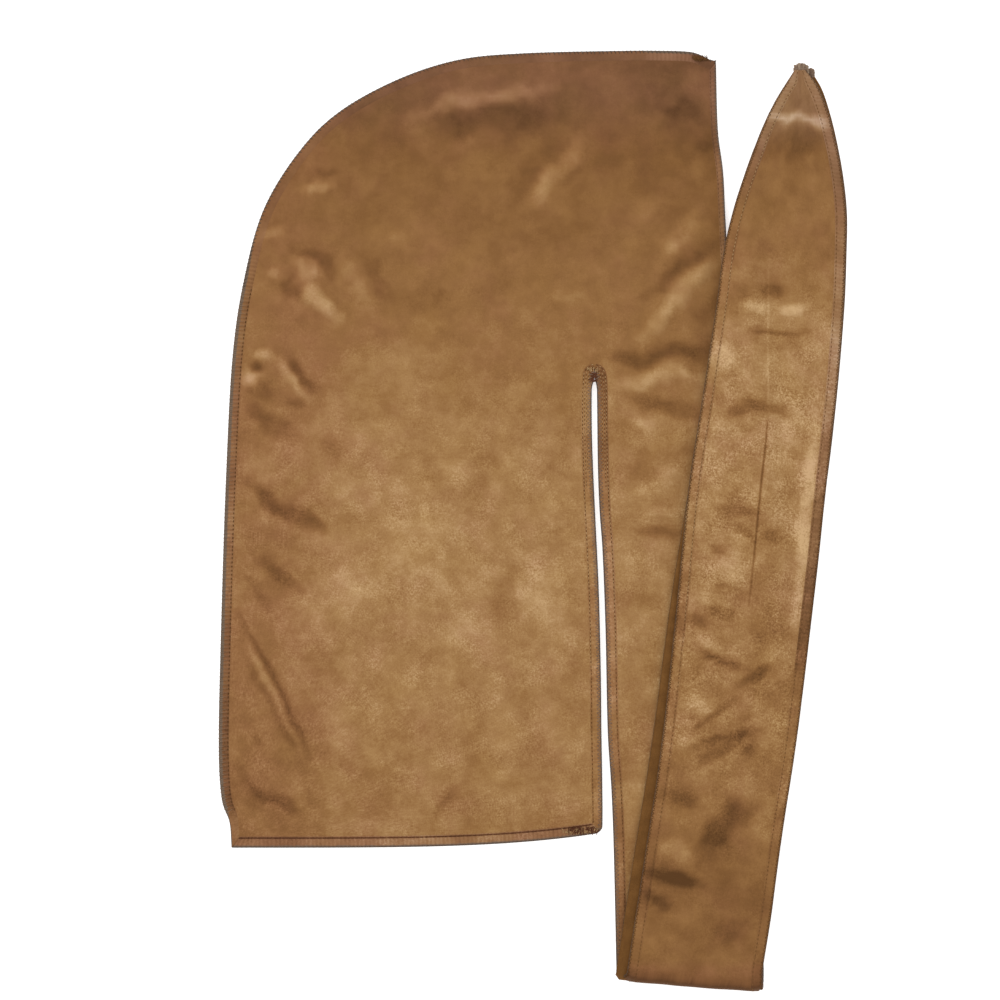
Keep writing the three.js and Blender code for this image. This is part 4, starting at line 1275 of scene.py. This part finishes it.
def hemLooks(points, side, chainName):
    x = points[:, 0]
    y = points[:, 1]
    traits = hemTraits[chainName if side > 0 else "tie"]
    looks = {label: np.full(len(points), float(value)) for label, value in traits.items()}
    looks["nap"] += 0.1 * cloudField(x, y, 0.02, 11)
    if side > 0 and chainName == "slit_hem":
        right = ramp(x, slitCentre, 0.004)
        apex = 1 - smooth(np.hypot(x - slitCentre, y - slitTop) / 0.012)
        looks["nap"] -= 0.3 * right * ramp(y, 0.2, 0.05) + 0.35 * apex
        looks["blush"] += 0.5 * right
    if side < 0:
        # painted shade on the tie's right hem, where it drapes off the stack: darker low down, near the foot
        # and in the middle, and a little lighter higher up
        right = smooth((x - outerEdge(y) - 0.018) / 0.01)
        low = 1 - ramp(y, 0.235, 0.05)
        foot = 1 - ramp(y, -0.01, 0.06)
        middle = ramp(y, 0.1, 0.03) * (1 - ramp(y, 0.2, 0.03))
        rightHemShade = 0.42 * low * ramp(y, 0.07, 0.05)
        looks["nap"] += 0.16 * ramp(y, 0.4, 0.05) + right * (0.12 * (1 - low) - rightHemShade)
        looks["nap"] -= right * (0.3 * foot + 0.35 * middle)
        looks["blush"] += right * foot
        looks["ash"] += 0.6 * right * ramp(y, 0.09, 0.08) + 0.4 * ramp(y, 0.37, 0.04)
        looks["rib"] += 0.3 * right
    return looks


# Threads: one stitch is shaped once, in shares of the hem's width, and copied along each edge
def stitchShape(route, radius, width=1.0, sides=5):  # tube through (along, across, lift)
    line = np.array(route, float)
    count = len(line)
    points = []
    for i, p in enumerate(line):
        ahead = line[min(i + 1, count - 1)] - line[max(i - 1, 0)]
        ahead /= np.linalg.norm(ahead)
        side = np.cross(ahead, [0, 0, 1])
        if np.linalg.norm(side) < 0.2:
            side = np.array([1.0, 0, 0])
        side /= np.linalg.norm(side)
        over = np.cross(side, ahead)
        thin = 0.55 if i in (0, count - 1) else 1
        for k in range(sides):
            angle = 2 * math.pi * k / sides
            points.append(p + (side * math.cos(angle) + over * math.sin(angle)) * radius * thin)
    points = np.array(points)
    points[:, 1] /= width
    return points, ringFaces(count, sides)


def rowOfStitches(outer, inner, up, shapes, seed, stops=None):
    outer = outer[:, :3]
    inner = inner[:, :3]
    middle = (outer + inner) / 2
    run = lengths(middle)
    pitch = stitching["pitch"]
    if stops is None:
        stops = np.arange(stitching["margin"], run[-1] - stitching["margin"], pitch)
    uneven = np.random.default_rng(seed)
    parts = []

    def at(line, where):
        return np.array([np.interp(where, run, line[:, i]) for i in range(3)])

    for stop in stops:
        where = stop + uneven.normal(0, stitching["uneven"]) * pitch
        edge = at(outer, where)
        width = at(inner, where) - edge
        rise = at(up, where)
        if rise[2] < -0.3:  # face down, where nothing shows
            continue
        forward = at(middle, min(where + pitch / 2, run[-1])) - at(middle, max(where - pitch / 2, 0))
        forward /= np.linalg.norm(forward)
        for shape, faces in shapes:
            moved = edge + np.outer(shape[:, 1], width) + np.outer(shape[:, 0], forward)
            parts.append((moved + np.outer(shape[:, 2], rise), faces))
    return joined(parts)


def widthOf(outer, inner):
    return float(np.median(np.linalg.norm((inner - outer)[:, :3], axis=1)))


def finishThreads(name, points, faces, thread):
    piece = makeMesh(name, points, faces, thread)
    fixNormals(piece)
    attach(piece, "root")
    return piece


arc = [(-1, -0.9), (-0.6, 0.3), (0, 0.6), (0.6, 0.3), (1, -0.9)]  # a straight stitch: (along, lift)


# Rows of straight stitches, each as (share of the hem's width, offset in stitches, lowest y)
def straightStitches(half, chainName, name, side, thread, rows):
    outer, inner, up = chainLines(half, chainName)
    width = widthOf(outer, inner)
    run = lengths((outer + inner)[:, :3] / 2)
    pitch = stitching["pitch"]
    heavy = chainName == "cape_hem"
    r = stitching["thread"] * (1.5 if heavy else 1)
    reach = pitch * (0.95 if heavy else stitching["dash"]) / 2
    parts = []
    for share, offset, above in rows:
        stops = np.arange(stitching["margin"] + offset * pitch, run[-1] - stitching["margin"], pitch)
        stops = stops[np.interp(stops, run, outer[:, 1]) > above]
        lift = np.interp(share, *zip(*hemProfile[3:9])) * pattern["hemThickness"]
        top = pattern["cloth"] / 2 + pattern["gap"] + lift
        finer = 1 if share == stitching["needleAt"] else 0.75
        route = [(along * reach, share * width, top + rise * r) for along, rise in arc]
        shape = stitchShape(route, r * finer, width)
        parts.append(rowOfStitches(outer, inner, up * side, [shape], 3, stops))
    return finishThreads(name, *joined(parts), thread)


def overlockStitches(half, chainName, name, side, thread, reach):
    outer, inner, up = chainLines(half, chainName)
    width = widthOf(outer, inner)
    top = pattern["cloth"] / 2 + pattern["gap"] + pattern["hemThickness"]
    r = stitching["thread"]
    step = stitching["pitch"]
    far = reach * width
    legOut = [
        (-0.42 * step, far, top - 0.6 * r), (-0.3 * step, 0.7 * far, top + 0.4 * r),
        (-0.12 * step, 0.3 * far, top + 0.2 * r), (0, 0.02 * width, top - 1.8 * r),
        (0.02 * step, 0, top - 4 * r),
    ]
    legBack = [
        (0.0, 0.01 * width, top - 2 * r), (0.12 * step, 0.3 * far, top + 0.3 * r),
        (0.3 * step, 0.7 * far, top + 0.5 * r), (0.46 * step, far, top - 0.4 * r),
    ]
    shapes = [stitchShape(route, r, width, 4) for route in (legOut, legBack)]
    return finishThreads(name, *rowOfStitches(outer, inner, up * side, shapes, 5), thread)


needle = stitching["needleAt"]
whole = [(needle, 0, -1)]
threads = {
    "upper": {
        "overlock": (overlockThread, 0.4),
        "front_hem": {".stitches": (needleThread, whole)},
        "slit_hem": {
            ".stitches": (needleThread, whole + [(0.66, 0.25, 0.215), (0.46, 0, 0.225)]),
            ".lightStitches": (tanThread, [(needle, 0.5, 0.11), (0.66, 0.75, 0.215), (0.46, 0.5, 0.225)]),
        },
        "cape_hem": {".stitches": (redThread, whole)},
    },
    "lower": {
        "overlock": (tieThread, 0.24),
        "front_hem": {".stitches": (tieNeedleThread, whole)},
        "slit_hem": {
            ".stitches": (tieNeedleThread, whole),
            ".lightStitches": (tanThread, [(needle, 0.5, 0.137)]),
        },
        "cape_hem": {},
    },
}
soft = {"lower": [], "upper": []}
for layerName, half, side in (("lower", lowerHalf, -1), ("upper", upperHalf, 1)):
    for chainName in ("front_hem", "slit_hem", "cape_hem"):
        made = soft[layerName]
        made.append(makeHem(half, layerName, chainName, side))
        stem = f"{layerName}_{chainName}"
        for label, (thread, rows) in threads[layerName][chainName].items():
            made.append(straightStitches(half, chainName, stem + label, side, thread, rows))
        if chainName != "cape_hem":
            thread, reach = threads[layerName]["overlock"]
            made.append(overlockStitches(half, chainName, stem + ".overlock", side, thread, reach))
print("hems and stitches made")


# How much darker the centre seam is than the velvet: (height above the cape's bottom, darkening)
seamShade = [
    (0, 0), (0.017, 0.02), (0.024, 0.4), (0.08, 0.46), (0.11, 0.24), (0.335, 0.2), (0.38, 0.05), (0.5, 0.04),
]


def seamLooks(points):
    x = points[:, 0]
    y = points[:, 1]
    corner = ramp(x, 0.25, 0.012) * ramp(y, 0.46, 0.004) * (1 - ramp(x, 0.28, 0.008))
    rim = ramp(x, 0.282, 0.006) * ramp(y, 0.46, 0.004)
    back = ramp(y, 0.018, 0.006) * (1 - ramp(y, 0.34, 0.03))
    looks = bodyLooks(x, y)
    nap = looks["nap"] - through(seamShade, y) + 0.12 * cloudField(x, y, 0.02, 12)
    # painted shadow patch at the front corner, over the seam's rim
    looks["nap"] = nap + 0.4 * corner - 0.3 * rim
    looks["blush"] = looks["blush"] + 0.15
    looks["ash"] = looks["ash"] + 0.3 + 0.5 * corner
    looks["rib"] = np.maximum(0.6 * corner, back)
    looks["groove"] = np.zeros_like(x)
    return looks


# Centre seam: a channel round both cut edges, wrapped with thread
def makeSeam():
    chain = lowerHalf["sewn"]
    upperChain = upperHalf["sewn"]
    edge = lowerHalf["points"][chain[:, 0]]
    inner = lowerHalf["points"][chain[:, -1]]
    reach = np.linalg.norm(edge - inner, axis=1)[:, None]
    outward = (edge - inner) / reach
    outward[:, 2] = 0
    cornered = reach / pattern["seamWidth"]
    gap = pattern["gap"]
    lip = pattern["cloth"] / 2 + gap
    thick = pattern["seamThickness"] * (0.2 + 0.8 * ramp(edge[:, 1], 0.012, 0.012))
    band = thick * (1 - 0.72 * ramp(edge[:, 1], 0.335, 0.04))
    inside = edge + outward * gap * cornered
    outside = edge + outward * (gap + thick[:, None]) * cornered
    floor = edge[:, 2] - lip
    roof = upperHalf["points"][upperChain[:, 0], 2] + lip
    innerRoof = upperHalf["points"][upperChain[:, -1], 2] + pattern["cloth"] / 2
    section = [  # (where it starts, share of the way in, height, how far across the band it looks)
        (outside, 0, floor - 0.4 * thick, 0.0),
        (outside, 0.15, floor - thick, 0.05),
        (outside, 1, floor - thick, 1.0),
        (outside, 1, floor, 1.0),
        (inside, 0, floor, 0.1),
        (inside, 0, roof, 0.1),
        (outside, 1, innerRoof - 0.5 * gap, 1.0),
        (outside, 0.93, innerRoof + 0.3 * band, 0.93),
        (outside, 0.75, innerRoof + 1.1 * band, 0.75),
        (outside, 0.5, (roof + innerRoof) / 2 + 1.15 * band, 0.5),
        (outside, 0.2, roof + 0.95 * band, 0.2),
        (outside, 0.04, roof + 0.55 * band, 0.06),
        (outside, 0, roof, 0.0),
    ]
    run = lengths(edge)
    rings = []
    uv = []
    for base, share, z, across in section:
        p = mix(base, inner, share)
        p[:, 2] = z
        rings.append(p)
        uv.append(np.column_stack([np.full(len(edge), across), run]))
    rings = np.stack(rings, axis=1)
    rings[0] += (edge[1] - edge[0]) / np.linalg.norm(edge[1] - edge[0]) * gap
    rings[-1] += (edge[-2] - edge[-1]) / np.linalg.norm(edge[-2] - edge[-1]) * gap
    points = rings.reshape(-1, 3)
    faces = ringFaces(len(edge), len(section))
    uv = np.stack(uv, axis=1).reshape(-1, 2)
    piece = makeMesh("centreSeam", points, faces, seamVelvet, uv=uv, attributes=seamLooks(points))
    sharpen(piece)
    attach(piece, "root")
    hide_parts("centre_seam")

    # thread that wraps the edge a stitch at a time: short round the crown, across the seam down the back
    over = outside.copy()
    over[:, 2] = roof + band
    overIn = inner.copy()
    overIn[:, 2] = innerRoof + 0.7 * band
    up = np.tile([0.0, 0.0, 1.0], (len(edge), 1))
    r = stitching["thread"]
    step = stitching["pitch"]
    width = pattern["seamWidth"]
    middleRun = lengths((over + overIn) / 2)
    backStart, footEnd = (float(np.interp(-y, -edge[60:, 1], middleRun[60:])) for y in (0.335, 0.021))

    def stitchRow(label, route, first, last, thread, seed):
        shape = stitchShape([(a, b * width, c) for a, b, c in route], r, width, 4)
        row = rowOfStitches(over, overIn, up, [shape], seed, np.arange(first, last, step))
        return finishThreads("centreSeam." + label, *row, thread)

    made = [piece]
    for label, first, last, reach, thread, seed in (
        ("crownWrap", stitching["margin"], backStart, 0.3, darkThread, 8),
        ("backWrap", backStart, footEnd, 0.86, seamThread, 6),
    ):
        drop = float(np.interp((first + last) / 2, middleRun, over[:, 2])) - 1.6 * r
        route = [
            (-0.2 * step, reach, -0.8 * r), (-0.15 * step, 0.75 * reach, 0.35 * r), (0, 0.4 * reach, 0.4 * r),
            (0.1 * step, 0.1, -0.2 * r), (0.16 * step, -0.01, -2.4 * r), (0.16 * step, -0.02, -drop * 0.6),
            (0.16 * step, 0.0, -drop),
        ]
        made.append(stitchRow(label, route, first, last, thread, seed))
    route = [(-0.25 * step, 0.9, -1.2 * r), (0, 0.9, 0.1 * r), (0.25 * step, 0.9, -1.2 * r)]
    made.append(stitchRow("stitches", route, backStart, footEnd, needleThread, 9))
    return made


seamPieces = makeSeam()
print("centre seam made")


# Thread bunched in one place: short crossing stitches over a spot of the pattern. lean is the stitches'
# angle and spread how much it varies
clumps = {
    "upper_slit_hem.tackDark": {
        "thread": redThread, "at": (0.2236, 0.2818), "size": (0.003, 0.0052), "count": 40, "lean": 0.1,
        "spread": 0.5, "length": 0.0026, "radius": 0.0002, "seed": 31,
    },
    "upper_slit_hem.tackRim": {
        "thread": tanThread, "at": (0.2232, 0.2862), "size": (0.0062, 0.0024), "count": 16, "lean": 1.4,
        "spread": 0.5, "length": 0.0018, "radius": 0.00018, "seed": 32,
    },
    "upper_cape_hem.cornerDark": {
        "thread": redThread, "at": (0.2175, 0.0104), "size": (0.019, 0.0036), "count": 74, "lean": 1.2,
        "spread": 0.4, "length": 0.0026, "radius": 0.00022, "seed": 33,
    },
    "upper_cape_hem.cornerLight": {
        "thread": tanThread, "at": (0.2155, 0.0098), "size": (0.021, 0.0026), "count": 40, "lean": 1.2,
        "spread": 0.4, "length": 0.0018, "radius": 0.00018, "seed": 34,
    },
    # dark thread bunched at the front corner, standing in for the shadow patch there
    "centreSeam.cornerShadowThreads": {
        "thread": tieThread, "at": (0.2878, 0.4731), "size": (0.0082, 0.0024), "count": 70, "lean": -0.5,
        "spread": 0.3, "length": 0.0026, "radius": 0.0002, "seed": 35,
    },
}
clumpArc = [(-1, -0.0003), (-0.6, 0.0001), (0, 0.00022), (0.6, 0.0001), (1, -0.0003)]  # (along, lift)


def threadClump(name, clump):
    uneven = np.random.default_rng(clump["seed"])
    parts = []
    for _ in range(clump["count"]):
        middle = np.array(clump["at"]) + uneven.uniform(-1, 1, 2) * np.array(clump["size"]) / 2
        angle = clump["lean"] + uneven.normal(0, clump["spread"])
        half = uneven.uniform(0.35, 0.6) * clump["length"]
        level = upperLayer["edge"] + hemStep + uneven.uniform(0, 0.0003)
        route = [
            (*(middle + along * half * np.array([math.cos(angle), math.sin(angle)])), level + lift)
            for along, lift in clumpArc
        ]
        parts.append(stitchShape(route, clump["radius"]))
    return finishThreads(name, *joined(parts), clump["thread"])


for name, clump in clumps.items():
    soft["upper"].append(threadClump(name, clump))


# Tip tacks: thread bunched over the end of each tie. at is the middle in the frame, half is half the size
tacks = {
    "lower_tip_tack": {"at": (0.1604, 0.2706), "half": (0.0049, 0.0043), "seed": 2},
    "upper_tip_tack": {"at": (0.1664, 0.2688), "half": (0.0024, 0.0033), "seed": 5},
}


def makeTack(node):
    low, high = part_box(node)
    tack = tacks[node]
    centre = Vector((*tack["at"], (low.z + high.z) / 2))
    half = Vector((*tack["half"], (high.z - low.z) / 2 * 1.15))
    bpy.ops.object.select_all(action="DESELECT")
    bpy.ops.mesh.primitive_uv_sphere_add(segments=48, ring_count=28, radius=1, location=(0, 0, 0))
    piece = bpy.context.object
    piece.name = node + ".bunch"
    mesh = piece.data
    drift = Vector((tack["seed"], 0, 0))
    for vertex in mesh.vertices:
        p = vertex.co
        square = 1 + 0.25 * (p.x * p.y) ** 2
        wave = 0.07 * math.sin(11 * math.atan2(p.y, p.x) + 4 * p.z)
        wrinkle = square * (0.95 + wave + 0.16 * noise.noise(p * 2.4 + drift))
        vertex.co = Vector((p.x * half.x, p.y * half.y, p.z * half.z)) * wrinkle + centre
    mesh.materials.append(tackThread)
    bpy.ops.object.shade_smooth()
    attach(piece, "root")
    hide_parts(node)

    # turns of thread round the bunch
    turns = 11
    parts = []
    uneven = np.random.default_rng(tack["seed"])
    for k in range(turns):
        share = ((k + 0.5) / turns * 2 - 1) * 0.9
        lean = uneven.normal(0, 0.35)
        girth = math.sqrt(1 - share * share) * 1.02
        loop = [
            (
                centre.x - originX + (share + lean * 0.25 * math.cos(a)) * half.x,
                centre.y - originY + math.cos(a) * half.y * girth,
                centre.z + math.sin(a) * half.z * girth,
            )
            for a in np.linspace(-0.15 * math.pi, 1.15 * math.pi, 12)
        ]
        parts.append(stitchShape(loop, stitching["thread"]))
    return [piece, finishThreads(node + ".threads", *joined(parts), overlockThread)]


soft["lower"] += makeTack("lower_tip_tack")
soft["upper"] += makeTack("upper_tip_tack")
print("tacks made")


# Floor and light
studio = {
    "floor": (0.93, 0.93, 0.93),
    "glow": 0.6,         # the paper is lit from behind, so it stays white inside the slit
    "sky": 0.86,
    "key": 12.4,
    "keyPlace": (-1.1, 1.5, 1.9),
    "keySize": 1.0,
    "top": 9.7,
    "topHeight": 3.2,
    "topSize": 3.0,
}


def makeFloor():
    bpy.ops.object.select_all(action="DESELECT")
    bpy.ops.mesh.primitive_plane_add(size=14, location=(0, 0, 0))
    floor = bpy.context.object
    floor.name = "floor"
    shop = Shop("floorPaper")
    paper = shop.set(
        Base_Color=studio["floor"], Roughness=0.9, Specular_IOR_Level=0.0, Emission_Color=(1.0, 1.0, 1.0),
        Emission_Strength=studio["glow"],
    )
    floor.data.materials.append(paper)


def makeLight(name, place, size, watts):
    data = bpy.data.lights.new(name, "AREA")
    data.shape = "SQUARE"
    data.size = size
    data.energy = watts
    light = bpy.data.objects.new(name, data)
    light.location = place
    light.rotation_euler = (-Vector(place)).to_track_quat("-Z", "Y").to_euler()
    bpy.context.scene.collection.objects.link(light)


makeFloor()
makeLight("key", studio["keyPlace"], studio["keySize"], studio["key"])
makeLight("top", (0, 0, studio["topHeight"]), studio["topSize"], studio["top"])
world = bpy.data.worlds.new("sky")
world.use_nodes = True
world.node_tree.nodes["Background"].inputs["Color"].default_value = (1, 1, 1, 1)
world.node_tree.nodes["Background"].inputs["Strength"].default_value = studio["sky"]
bpy.context.scene.world = world
bpy.context.scene.view_settings.view_transform = "Standard"
print("studio ready")
